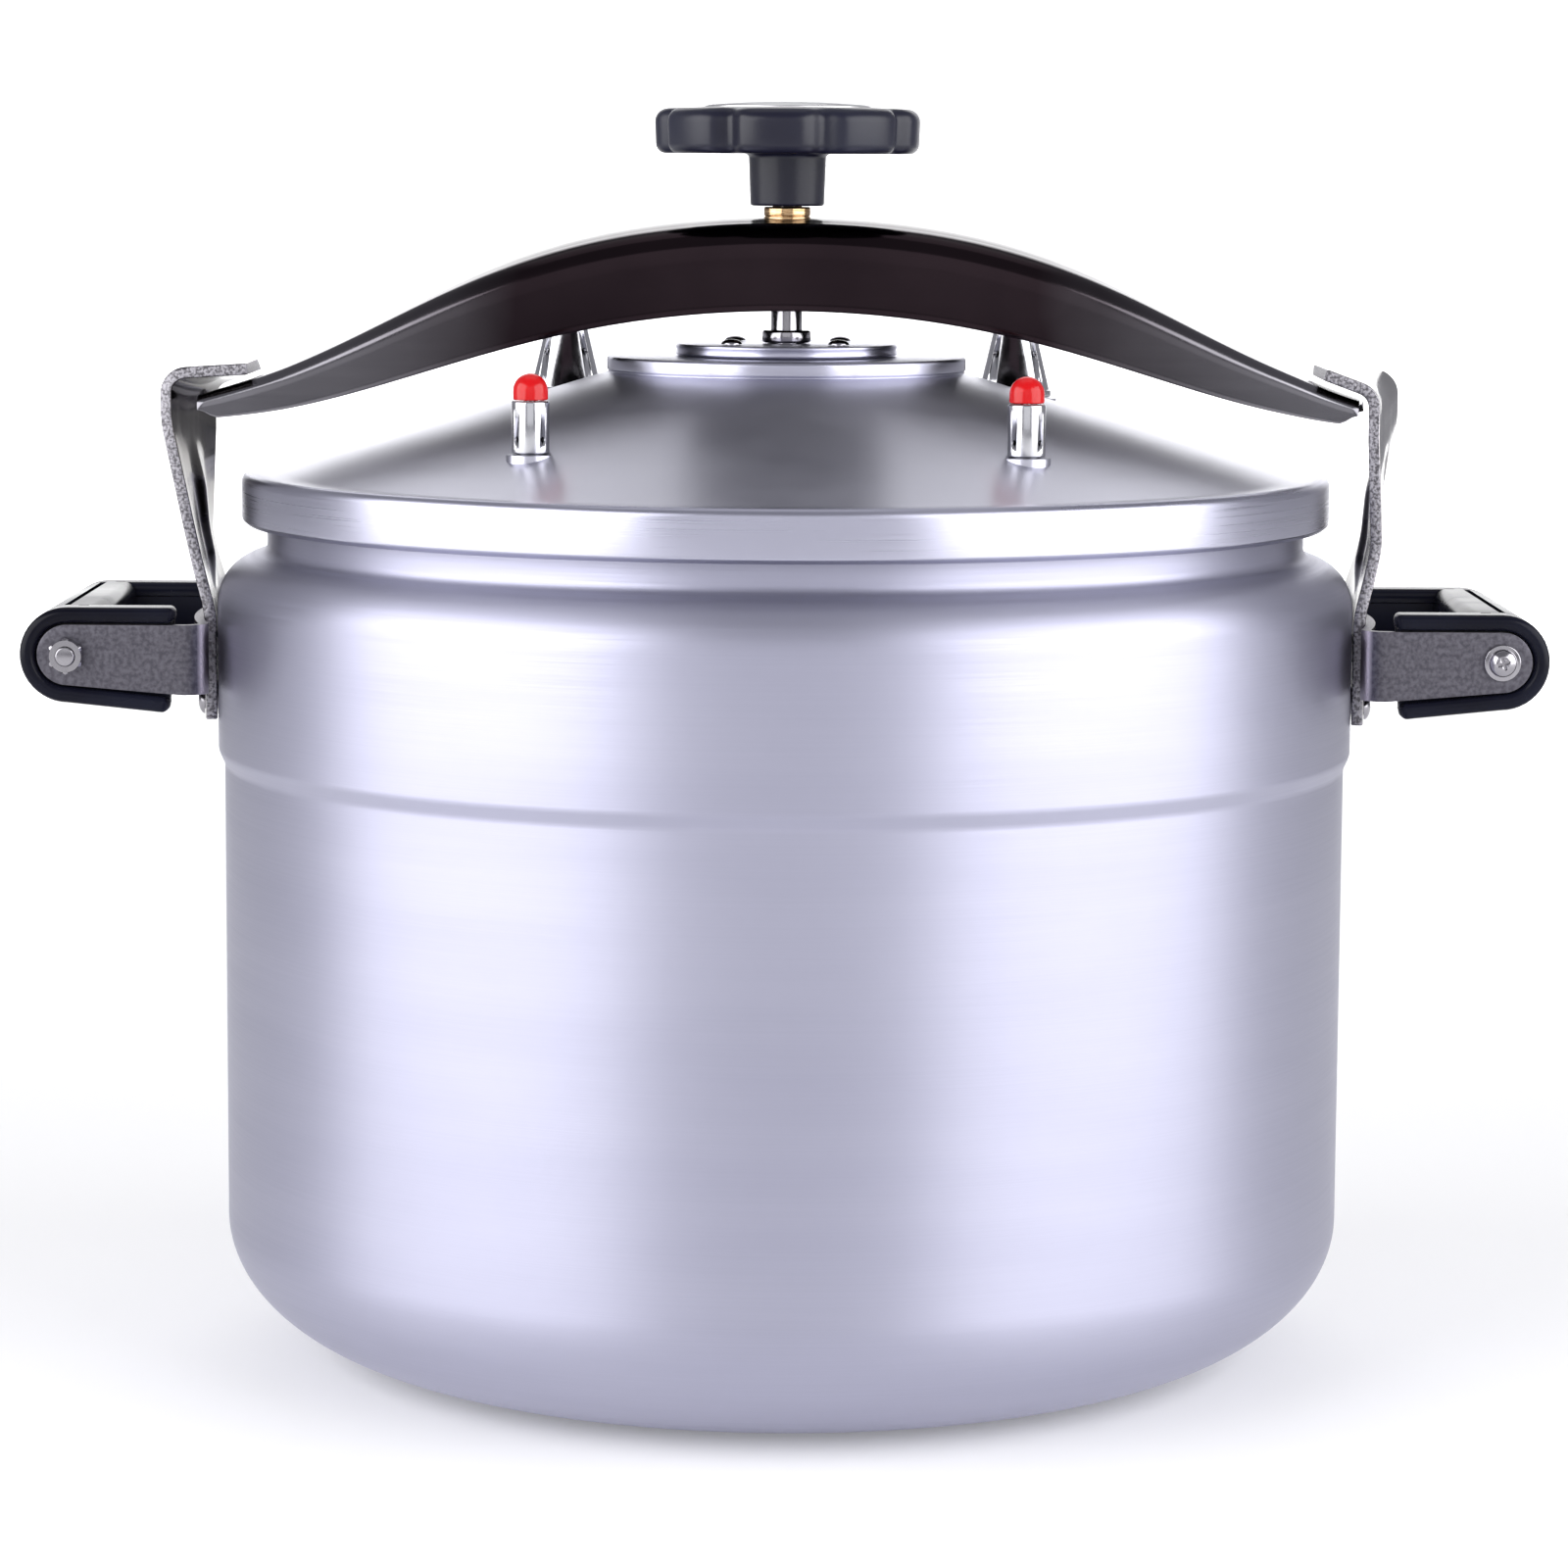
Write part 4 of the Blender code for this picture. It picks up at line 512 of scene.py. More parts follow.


# ---- arched beam
# A channel pressed from plated steel sheet: an arched top, rounded shoulders and two hanging flanges,
# deep in the middle and shallow at the ends, where it grips under the hooks. Its colour is bright chrome at
# the ends and a painted dark reflection in the middle.
BEAM_END, BEAM_CROWN, BEAM_DROP = 0.1845, 0.3653, 0.0566
BEAM_DEPTH_MIDDLE, BEAM_DEPTH_END = 0.0294, 0.0081
BEAM_SHEET = 0.0025
BEAM_HALF, BEAM_END_HALF = 0.022, 0.017
BEAM_FILLET, BEAM_END_FILLET = 0.009, 0.0042
BEAM_CAMBER, BEAM_END_CAMBER = 0.0016, 0.0005
BEAM_SLANT = 0.17


def curve_line(start, start_handle, end_handle, end, steps=80):
    """Cubic through four points: the binomial sum of (1 - t)^(3 - k) t^k over the points."""
    t = np.linspace(0.0, 1.0, steps)[:, None]
    start, start_handle, end_handle, end = (np.array(p, float) for p in (start, start_handle, end_handle, end))
    return ((1 - t) ** 3 * start + 3 * (1 - t) ** 2 * t * start_handle + 3 * (1 - t) * t ** 2 * end_handle
            + t ** 3 * end)


def ease(low, high, value):
    """0 below low, 1 above high and 3 s^2 - 2 s^3 between."""
    share = np.clip((value - low) / (high - low), 0.0, 1.0)
    return share * share * (3 - 2 * share)


def mixed(first, second, share):
    """first at share 0 and second at share 1."""
    return first + (second - first) * share


BEAM_END_TOP = BEAM_CROWN - BEAM_DROP
CROWN_LINE = curve_line((0.0, BEAM_CROWN), (0.54 * BEAM_END, BEAM_CROWN),
                        (0.64 * BEAM_END, BEAM_END_TOP + 0.019), (BEAM_END, BEAM_END_TOP))
EDGE_LINE = curve_line((0.0, BEAM_CROWN - BEAM_DEPTH_MIDDLE), (0.47 * BEAM_END, BEAM_CROWN - BEAM_DEPTH_MIDDLE),
                       (0.68 * BEAM_END, BEAM_END_TOP - BEAM_DEPTH_END + 0.0037),
                       (BEAM_END, BEAM_END_TOP - BEAM_DEPTH_END))


def beam_grid(along, across):
    """Middle of the beam's sheet. u runs from end to end and v from edge to edge, both -1 to 1.

    Of |v|, the first third is the cambered top, the second a quarter circle and the last the flange.
    """
    u = np.linspace(-1.0, 1.0, along)[:, None]
    v = np.linspace(-1.0, 1.0, across)[None, :]
    reach, third = np.abs(u), np.abs(v) * 3
    x = BEAM_END * reach
    top = np.interp(x, CROWN_LINE[:, 0], CROWN_LINE[:, 1]) - BEAM_SHEET / 2
    edge = np.interp(x, EDGE_LINE[:, 0], EDGE_LINE[:, 1]) + 0.003 * ease(0.965, 1.0, reach)
    taper = ease(0.35, 1.0, reach)
    half = mixed(BEAM_HALF, BEAM_END_HALF, taper) - BEAM_SHEET / 2
    fillet = mixed(BEAM_FILLET, BEAM_END_FILLET, taper) - BEAM_SHEET / 2
    camber = mixed(BEAM_CAMBER, BEAM_END_CAMBER, taper)
    flat, turn, leg = (np.clip(third - k, 0.0, 1.0) for k in (0, 1, 2))
    y = (half - fillet) * flat + fillet * np.sin(turn * math.pi / 2)
    z = top - camber * flat ** 2 - fillet * (1 - np.cos(turn * math.pi / 2))
    z = mixed(z, edge, leg)
    y = y * np.sign(v)
    x = x * np.sign(u) + BEAM_SLANT * y * ease(0.85, 1.0, reach)
    return np.stack(np.broadcast_arrays(x, y, z), -1)


def settled(piece):
    """Turns a piece's modifiers into its own mesh."""
    graph = bpy.context.evaluated_depsgraph_get()
    mesh = bpy.data.meshes.new_from_object(piece.evaluated_get(graph))
    piece.modifiers.clear()
    piece.data = mesh


def bent_sheet(name, grid, finishes, thickness, edge, turn=Matrix()):
    """A sheet from the grid of its middle, with its wall equally on both sides and its cut edges broken.

    Its finishes are those of the outer face, of the rim and of the inner face, as far as they differ.
    """
    piece = skin(name, grid, finishes[0], close_columns=False, sharp=60.0)
    piece.data.transform(turn)
    for finish in finishes[1:]:
        piece.data.materials.append(finish)
    wall = piece.modifiers.new("wall", "SOLIDIFY")
    wall.thickness = thickness
    wall.offset = 0.0
    wall.use_even_offset = True
    wall.material_offset_rim = min(1, len(finishes) - 1)
    wall.material_offset = 2 if len(finishes) > 2 else 0
    rounded = piece.modifiers.new("edges", "BEVEL")
    rounded.width = edge
    rounded.segments = 2
    rounded.limit_method = "ANGLE"
    rounded.angle_limit = math.radians(60)
    settled(piece)
    return piece


def drill(piece, radius, place, length, turns=24):
    """Takes a round hole along the local Z of a place, length to each side, out of a piece."""
    profile = np.array([[0.0, length], [radius, length], [radius, -length], [0.0, -length]])
    bit = turned("bit", profile, piece.data.materials[0], turns, place=place)
    hole = piece.modifiers.new("hole", "BOOLEAN")
    hole.operation = "DIFFERENCE"
    hole.object = bit
    settled(piece)
    bpy.data.objects.remove(bit)


def apart(made, axis):
    """Socket of a point's distance from the plane across one axis."""
    value = wire(made, "SeparateXYZ", {0: wire(made, "TexCoord", out="Object")}, axis)
    return wire(made, "Math", {0: value}, operation="ABSOLUTE")


def dark_chrome():
    """Bright chrome towards the ends, with a painted dark brown-black reflection in the middle of the arch."""
    made = new_finish("dark_chrome", 1.0)
    cloud = speckle(made, 16.0, 3.0)
    shift = spread(made, cloud, -0.006, 0.006)
    moved = wire(made, "Math", {0: apart(made, "X"), 1: shift}, operation="ADD")
    outer = spread(made, moved, 0.0, 1.0, 0.085, 0.17)
    # Painted dark reflection: the middle colour, near black, blends out to the chrome colour between |x| 0.085 and
    # 0.17.
    middle = blend_colour(made, spread(made, cloud), (0.018, 0.012, 0.015), (0.028, 0.019, 0.023))
    polish = spread(made, speckle(made, 300.0, 2.0, (0.05, 1.0, 1.0)), 0.13, 0.16)
    return coat(made, blend_colour(made, outer, middle, (0.2, 0.195, 0.215)), polish,
                (speckle(made, 45.0, 2.0), 0.03, 0.0004))


beam = bent_sheet("arched_beam", beam_grid(181, 49), [dark_chrome()], BEAM_SHEET, 0.0005)
drill(beam, BUSH_RADIUS + BUSH_ROOM, Matrix.Translation((0.0, 0.0, BEAM_CROWN)), 0.01, 64)
fit(beam, "beam", "dark_chrome", "clamp_beam")


# ---- knob, its nut and its cap
# A moulded hand wheel with eight lobes and a short hub, screwed down on the screw by a nut in its recess.
# A domed silver cap is pressed into the recess.
KNOB_RADIUS, KNOB_UNDERSIDE, KNOB_TOP = 0.0425, 0.3853, 0.4
KNOB_BOTTOM, KNOB_FLOOR = 0.3688, 0.392
KNOB_BORE = 0.0053
HOLLOW_START, HOLLOW_FULL = 0.03, 0.04
HUB_RADIUS_TOP, HUB_RADIUS_BOTTOM = 0.0124, 0.0118
RECESS_RADIUS = 0.0272
LOBES, HOLLOW_DEPTH, HOLLOW_WIDTH = 8, 0.0036, 0.105
KNOB_TURN = math.radians(-5.5)


def blue_black_plastic():
    """Moulded plastic, blue-black and half glossy, with a very fine grain."""
    made = new_finish("blue_black_plastic", 0.0, Specular_IOR_Level=0.35)
    grain = speckle(made, 900.0, 2.0)
    cloud = speckle(made, 30.0, 2.0)
    colour = blend_colour(made, spread(made, cloud), (0.006, 0.006, 0.016), (0.009, 0.01, 0.023))
    return coat(made, colour, spread(made, cloud, 0.3, 0.38), (grain, 0.12, 0.0002))


def knob_grid():
    """A profile (r, z, w) turned about Z, with a round-bottomed hollow between lobes where w is 1.

    The radius at angle a is r - w * depth * exp(-(d / width)^2), d being the angle to the nearest hollow.
    """
    edge = rounded_line([
        (RECESS_RADIUS, KNOB_FLOOR, 0), (RECESS_RADIUS, KNOB_TOP, 0.0006), (KNOB_RADIUS, KNOB_TOP - 0.0006, 0.0042),
        (KNOB_RADIUS - 0.0006, KNOB_UNDERSIDE, 0.0032), (HUB_RADIUS_TOP, KNOB_UNDERSIDE, 0.0015),
        (HUB_RADIUS_BOTTOM, KNOB_BOTTOM, 0.0009), (KNOB_BORE, KNOB_BOTTOM, 0.0005), (KNOB_BORE, KNOB_FLOOR, 0.0003),
        (RECESS_RADIUS - 0.0001, KNOB_FLOOR, 0)], 7)
    angle = full_turn(384)
    pitch = math.tau / LOBES
    away = (angle - KNOB_TURN) % pitch - pitch / 2
    hollow = HOLLOW_DEPTH * np.exp(-(away / HOLLOW_WIDTH) ** 2)
    radius, z = edge[:, :1], edge[:, 1:]
    return round_axis(radius - ease(HOLLOW_START, HOLLOW_FULL, radius) * hollow, z, angle)


knob = skin("hand_knob", knob_grid(), blue_black_plastic(), close_rows=True)
fit(knob, "spindle", "blue_black_plastic", "knob")


def silver_cap():
    """Satin silver with turning marks."""
    made = new_finish("silver_cap", 1.0)
    fine = ring_grain(made, 3500.0, 1.5)
    return coat(made, blend_colour(made, fine, (0.8, 0.8, 0.8), (0.92, 0.92, 0.92)), spread(made, fine, 0.26, 0.36))


CAP_DOME, CAP_WALL, CAP_ROOM = 0.004, 0.0012, 0.0003
cap_radius = RECESS_RADIUS - CAP_ROOM
quarter = quarter_turn(24)
cap_dome = np.hstack([cap_radius * np.sin(quarter), KNOB_TOP + CAP_DOME * np.cos(quarter)])
cap_inner, cap_foot = cap_radius - CAP_WALL, KNOB_FLOOR + CAP_ROOM
cap_hollow = np.hstack([cap_inner * np.cos(quarter), KNOB_TOP + (CAP_DOME - CAP_WALL) * np.sin(quarter)])
cap_skirt = np.array([[cap_radius, cap_foot], [cap_inner, cap_foot]])
cap = turned("knob_badge", np.vstack([cap_dome, cap_skirt, cap_hollow]), silver_cap(), turns=128)
fit(cap, "spindle", "silver_cap", "knob_cap")


# ---- hooks
# Two thick steel plates riveted to the pot's band stand up and bend in over the beam's ends. One edge of each
# is open, so that the beam can swing in; the other turns inwards and stops it. Sheared edges stay rough.
HOOK_PLATE = 0.0037
HOOK_BASE_HALF, HOOK_HALF = 0.025, 0.019
HOOK_FOOT, LAYER_GAP = 0.2055, 0.0003
CLAW_LENGTH, CLAW_ROOM, CLAW_BEND = 0.0135, 0.0012, 0.0065
OPEN_REACH, STOP_REACH = 0.0125, 0.0022
RIB_DEPTH, RIB_WIDTH = 0.0022, 0.004
HALF_TURN = Matrix.Rotation(math.pi, 4, "Z")
SIDES = (("left", HALF_TURN), ("right", Matrix()))


def hook_steel(name, dark, light):
    """Polished plate between two greys: mirror-bright, with long faint polishing marks."""
    made = new_finish(name, 1.0)
    marks = speckle(made, 160.0, 3.0, (1.0, 1.0, 0.08))
    cloud = speckle(made, 35.0, 3.0)
    return coat(made, blend_colour(made, spread(made, cloud), dark, light), spread(made, marks, 0.07, 0.18),
                (cloud, 0.1, 0.0006))


def sheared_edge():
    """The torn grey edge of cut plate: coarse light and dark speckle."""
    made = new_finish("sheared_edge", 1.0)
    coarse = speckle(made, 1100.0, 5.0)
    tint = spread(made, coarse, 0.0, 1.0, 0.4, 0.6)
    return coat(made, blend_colour(made, tint, (0.1, 0.095, 0.105), (0.38, 0.37, 0.4)),
                spread(made, coarse, 0.3, 0.6), (coarse, 0.6, 0.0006))


def path_at(path, share):
    """Points on a polyline at shares of its length."""
    step = np.linalg.norm(np.diff(path, axis=0), axis=1)
    length = np.concatenate([[0.0], np.cumsum(step)])
    return np.stack([np.interp(share * length[-1], length, path[:, k]) for k in (0, 1)], -1)


def hook_grid(along, across):
    """A ruled plate between two bent edges; its foot is curved to the pot, and a rib is pressed in its middle.

    A point is mixed(stop edge, open edge) by v, moved in by R - sqrt(R^2 - y^2) at the foot and by
    depth * exp(-(y / width)^2) along the rib.
    """
    base = BAND_RADIUS + LAYER_GAP + HOOK_PLATE / 2
    tip_x, over = BEAM_END - CLAW_LENGTH, CLAW_ROOM + HOOK_PLATE / 2
    tip_z, end_z = np.interp([tip_x, BEAM_END], CROWN_LINE[:, 0], CROWN_LINE[:, 1]) + over
    open_x, stop_x = BEAM_END + OPEN_REACH, BEAM_END + STOP_REACH
    start, tip = [(base, HOOK_FOOT, 0), (base, BAND_TOP + 0.003, 0.05)], (tip_x, tip_z + 0.0006, 0)
    open_edge = rounded_line(start + [(mixed(base, open_x, 0.62), BAND_TOP + 0.041, 0.05),
                                      (open_x, BAND_TOP + 0.064, 0.04), (open_x, end_z + 0.0034, CLAW_BEND), tip], 16)
    stop_edge = rounded_line(start + [(stop_x + 0.0016, BAND_TOP + 0.026, 0.03),
                                      (stop_x, BAND_TOP + 0.06, 0.04), (stop_x, end_z - 0.001, CLAW_BEND), tip], 16)
    share = np.linspace(0.0, 1.0, along)
    v = np.linspace(-1.0, 1.0, across)[None, :]
    edges = [path_at(edge, share)[:, None, :] for edge in (stop_edge, open_edge)]
    place = mixed(edges[0], edges[1], (v[..., None] + 1) / 2)
    x, z = place[..., 0], place[..., 1]
    half = mixed(HOOK_BASE_HALF, HOOK_HALF, ease(BAND_TOP, BAND_TOP + 0.028, z))
    y = half * v
    bend = (base - np.sqrt(base ** 2 - y ** 2)) * (1 - ease(BAND_TOP, BAND_TOP + 0.03, z))
    ribbed = ease(BAND_TOP + 0.008, BAND_TOP + 0.022, z) * (1 - ease(BAND_TOP + 0.04, BAND_TOP + 0.06, z))
    rib = RIB_DEPTH * ribbed * np.exp(-(y / RIB_WIDTH) ** 2)
    return np.stack([x - bend - rib, y, z], -1)


HOOK_STEEL = hook_steel("hook_steel", (0.36, 0.35, 0.35), (0.5, 0.49, 0.49))
# The inner faces get the same steel in near-black greys: painted shade.
HOOK_STEEL_PAINTED_SHADE = hook_steel("hook_steel_painted_shade", (0.05, 0.045, 0.042), (0.11, 0.102, 0.096))
SHEARED_EDGE = sheared_edge()
for side, turn in SIDES:
    hook = bent_sheet(side + "_clamp_hook", hook_grid(150, 41), [HOOK_STEEL, SHEARED_EDGE, HOOK_STEEL_PAINTED_SHADE], HOOK_PLATE,
                      0.0005, turn)
    fit(hook, "pot", "hook_steel", side + "_hook")


# ---- handle brackets
# A strip of dull steel plate is bent into a U round each hook's foot: its web is riveted to the pot and its
# two arms, rounded at the tips, carry the grip.
BRACKET_SHEET, BRACKET_RADIUS, BRACKET_BEND = 0.003, 0.1878, 0.006
BRACKET_TOP, BRACKET_BOTTOM = 0.238, 0.216
ARM_Y, ARM_TIP_RADIUS = 0.05, 0.0095
BOLT_X, BOLT_Z = 0.2245, 0.2285
WEB_ANGLE = math.asin((ARM_Y - BRACKET_BEND) / BRACKET_RADIUS)
ARM_START = BRACKET_RADIUS * math.cos(WEB_ANGLE) + BRACKET_BEND


def matte_plate():
    """Dull rolled plate, mottled grey, with a painted highlight in light pinkish grey on the web and round its bends.
    """
    made = new_finish("matte_plate_steel", 1.0)
    mottle = speckle(made, 700.0, 6.0)
    # Painted highlight: everything within |y| 0.0486 of the middle, the web and its bends, gets a light colour and a
    # lower roughness.
    bright = spread(made, apart(made, "Y"), 1.0, 0.0, 0.0486, 0.05)
    tint = spread(made, mottle, 0.0, 1.0, 0.38, 0.62)
    plain = blend_colour(made, tint, (0.08, 0.076, 0.092), (0.13, 0.125, 0.147))
    dull = spread(made, mottle, 0.36, 0.5)
    gloss = wire(made, "Mix", {0: bright, 2: dull, 3: 0.24})
    return coat(made, blend_colour(made, bright, plain, (0.5, 0.46, 0.48)), gloss, (mottle, 0.25, 0.0004))


def bracket_grid(across):
    """Middle of the strip. It runs from the web's middle round a quarter bend and out along one arm, and is
    then mirrored in Y; the tip's height falls off as the cosine of a quarter turn."""
    web = np.linspace(0.0, WEB_ANGLE, 24)[:-1]
    bend = np.linspace(0.0, math.pi / 2, 14)
    arm = np.linspace(0.0, 1.0, 12)[1:]
    tip = np.linspace(0.0, math.radians(88), 22)[1:]
    x = np.concatenate([BRACKET_RADIUS * np.cos(web), ARM_START - BRACKET_BEND * np.cos(bend),
                        mixed(ARM_START, BOLT_X, arm), BOLT_X + ARM_TIP_RADIUS * np.sin(tip)])
    y = np.concatenate([BRACKET_RADIUS * np.sin(web), ARM_Y - BRACKET_BEND * (1 - np.sin(bend)),
                        np.full(len(arm) + len(tip), ARM_Y)])
    root = np.full(len(web) + len(bend), BRACKET_BOTTOM)
    low = np.concatenate([root, mixed(BRACKET_BOTTOM, BOLT_Z - ARM_TIP_RADIUS, arm),
                          BOLT_Z - ARM_TIP_RADIUS * np.cos(tip)])
    high = np.concatenate([root + BRACKET_TOP - BRACKET_BOTTOM, np.full(len(arm), BRACKET_TOP),
                           BOLT_Z + ARM_TIP_RADIUS * np.cos(tip)])
    half = np.stack([x, y, low, high], -1)
    whole = np.vstack([half[:0:-1] * (1, -1, 1, 1), half])
    share = np.linspace(0.0, 1.0, across)[None, :]
    z = mixed(whole[:, 2:3], whole[:, 3:4], share)
    return np.stack(np.broadcast_arrays(whole[:, 0:1], whole[:, 1:2], z), -1)


MATTE_PLATE = matte_plate()
for side, turn in SIDES:
    bracket = bent_sheet(side + "_bracket", bracket_grid(5), [MATTE_PLATE, SHEARED_EDGE], BRACKET_SHEET, 0.0004, turn)
    fit(bracket, "pot", "matte_plate_steel", side + "_handle_bracket")


# ---- grips
# Each grip is one black bakelite moulding between the bracket's arms: a round-backed bar, and at each end
# a cheek with a raised, rounded rim that runs round the arm.
GRIP_OUTER, GRIP_INNER = 0.0527, 0.0407
RIM_INNER, RIM_OUTER, RIM_CORNER, RIM_END = 0.01, 0.015, 0.0021, 0.0022
GRIP_START, GRIP_START_LOW = 0.191, 0.193
BAR_FACE, BAR_SUNK = 0.2145, 0.004
CHEEK_FLOOR, CHEEK_BACK, CHEEK_EDGE = 0.0045, 0.0014, 0.0004


def black_bakelite():
    """Glossy blue-black bakelite with faint flow marks."""
    made = new_finish("black_bakelite", 0.0, Specular_IOR_Level=0.12)
    flow = speckle(made, 40.0, 3.0, (0.5, 1.0, 1.0))
    colour = blend_colour(made, spread(made, flow), (0.003, 0.003, 0.007), (0.007, 0.008, 0.017))
    return coat(made, colour, spread(made, flow, 0.2, 0.28), (speckle(made, 120.0, 2.0), 0.06, 0.0004))


def swept(name, path, section, finish, round_end=0.0):
    """A section carried along a path in the XZ plane.

    Section points are (outwards from the path, along Y). At each end the section shrinks to its middle as
    a quarter circle of radius round_end, which closes the end.
    """
    ahead = np.gradient(path, axis=0)
    ahead = ahead / np.linalg.norm(ahead, axis=1)[:, None]
    quarter = quarter_turn(7)[1:]
    lead = path[0] - ahead[0] * round_end * np.sin(quarter[::-1])
    tail = path[-1] + ahead[-1] * round_end * np.sin(quarter)
    line = np.vstack([lead, path, tail])
    ahead = np.vstack([np.repeat(ahead[:1], 6, 0), ahead, np.repeat(ahead[-1:], 6, 0)])
    size = np.vstack([np.cos(quarter[::-1]), np.ones((len(path), 1)), np.cos(quarter)])
    outwards = np.stack([-ahead[:, 1], ahead[:, 0]], -1)
    middle = section.mean(0)
    offset = middle + (section[None] - middle) * size[..., None]
    x = line[:, :1] + outwards[:, :1] * offset[..., 0]
    z = line[:, 1:] + outwards[:, 1:] * offset[..., 0]
    return skin(name, np.stack([x, offset[..., 1], z], -1), finish)


def rounded_box(low, high, radius, steps=5):
    """Closed outline of a rectangle between two corners, its own corners rounded."""
    (x0, y0), (x1, y1) = low, high
    middle = ((x0 + x1) / 2, y0)
    line = rounded_line([(*middle, 0), (x1, y0, radius), (x1, y1, radius), (x0, y1, radius), (x0, y0, radius),
                         (*middle, 0)], steps)
    return line[:-1]


def filled(name, outline, low, high, edge, finish):
    """A flat (x, z) outline given thickness along Y, its two rims rounded.

    Rings of the outline are shrunk towards its middle: by edge * (1 - sin) where the rim turns over.
    """
    middle = outline.mean(0)
    quarter = quarter_turn(5)
    depth = np.vstack([low, low + edge * (1 - np.cos(quarter)), high - edge * (1 - np.cos(quarter[::-1])), high])
    inset = edge * (1 - np.sin(np.vstack([quarter, quarter[::-1]])))
    size = 1 - inset / np.linalg.norm(outline - middle, axis=1)
    size = np.vstack([0.0 * size[:1], size, 0.0 * size[:1]])[..., None]
    ring = middle + (outline - middle) * size
    return skin(name, np.stack(np.broadcast_arrays(ring[..., 0], depth, ring[..., 1]), -1), finish)


def joined(pieces, name):
    """Several closed shells as one object."""
    whole = bmesh.new()
    for piece in pieces:
        whole.from_mesh(piece.data)
    mesh = pieces[0].data.copy()
    whole.to_mesh(mesh)
    whole.free()
    mesh.name = name
    made = bpy.data.objects.new(name, mesh)
    bpy.context.scene.collection.objects.link(made)
    for piece in pieces:
        bpy.data.objects.remove(piece)
    return made


def tip_arc(radius, steps=24):
    """Half circle round the bolt's axis from top to bottom, on the side away from the pot."""
    angle = np.linspace(math.pi / 2, -math.pi / 2, steps)[:, None]
    return np.hstack([BOLT_X + radius * np.cos(angle), BOLT_Z + radius * np.sin(angle)])


BAKELITE = black_bakelite()
RIM_MIDDLE, RIM_HALF = (RIM_INNER + RIM_OUTER) / 2, (RIM_OUTER - RIM_INNER) / 2
for side, turn in SIDES:
    shells = []
    top = BRACKET_TOP + 0.0005 + RIM_HALF
    rim_path = np.vstack([np.stack([np.linspace(GRIP_START + 0.002, BOLT_X, 12)[:-1], np.full(11, top)], -1),
                          tip_arc(RIM_MIDDLE),
                          np.stack([np.linspace(BOLT_X, GRIP_START_LOW + 0.002, 12)[1:],
                                    np.linspace(BOLT_Z - RIM_MIDDLE, BRACKET_BOTTOM - 0.003, 12)[1:]], -1)])
    plate_outline = np.vstack([[[GRIP_START + 0.0005, top]], tip_arc(RIM_MIDDLE),
                               [[GRIP_START_LOW, BRACKET_BOTTOM - 0.003]]])
    bar_face = rounded_line([(BOLT_X, BOLT_Z + RIM_OUTER, 0), (BAR_FACE, BOLT_Z + RIM_OUTER, 0.004),
                             (BAR_FACE, BOLT_Z - RIM_OUTER, 0.004), (BOLT_X, BOLT_Z - RIM_OUTER, 0)], 8)
    bar_outline = np.vstack([bar_face[::-1], tip_arc(RIM_OUTER)[::-1][1:-1]])
    for name, outer, inner in (("front", -GRIP_OUTER, -GRIP_INNER), ("rear", GRIP_OUTER, GRIP_INNER)):
        section = rounded_box((-RIM_HALF, min(outer, inner)), (RIM_HALF, max(outer, inner)), RIM_CORNER)
        shells.append(swept(name + "_rim", rim_path, section, BAKELITE, RIM_END))
        floor_y = outer + math.copysign(CHEEK_FLOOR, inner - outer)
        back_y = inner + math.copysign(CHEEK_BACK, outer - inner)
        near, far = min(floor_y, back_y), max(floor_y, back_y)
        shells.append(filled(name + "_cheek", plate_outline, near, far, CHEEK_EDGE, BAKELITE))
    shells.append(filled("bar", bar_outline, -GRIP_INNER - BAR_SUNK, GRIP_INNER + BAR_SUNK, CHEEK_EDGE, BAKELITE))
    grip = joined(shells, side + "_grip")
    grip.data.transform(turn)
    fit(grip, "pot", "black_bakelite", side + "_handle_grip")


# ---- handle bolts and nuts
# A bright steel screw with a domed head, a cross recess and a washer goes through both arms and the grip. A
# hexagon nut holds it at the other end.
BOLT_HEAD, BOLT_HEAD_HEIGHT, BOLT_SHANK = 0.0058, 0.0034, 0.003
ARM_FACE = ARM_Y + BRACKET_SHEET / 2 + LAYER_GAP
NUT_ACROSS, NUT_HEIGHT, CHAMFER_SLOPE = 0.01, 0.0045, 0.6
SLOT_TURNS, SLOT_FLOOR, SLOT_CLEAR = (20.0, 110.0), 0.002, 0.07
SLOT_HALF_LENGTH, SLOT_HALF_WIDTH = 0.0021, 0.00045


def hexagon(name, across, low, high, bore, finish, place):
    """A nut: the outer radius at angle a is (across / 2) / cos(a), folded into each sixth, cut by cone chamfers."""
    angle = full_turn(96)
    flat = across / 2 / np.cos((angle + math.pi / 6) % (math.pi / 3) - math.pi / 6)
    corner = across / 2 / math.cos(math.pi / 6)
    chamfer = (corner - across / 2) * CHAMFER_SLOPE
    limit = np.array([across / 2, corner, corner, across / 2, bore, bore])[:, None]
    height = np.array([low, low + chamfer, high - chamfer, high, high, low])[:, None]
    nut = skin(name, round_axis(np.minimum(flat, limit), height, angle), finish, close_rows=True, sharp=25.0)
    nut.data.transform(place)
    return nut


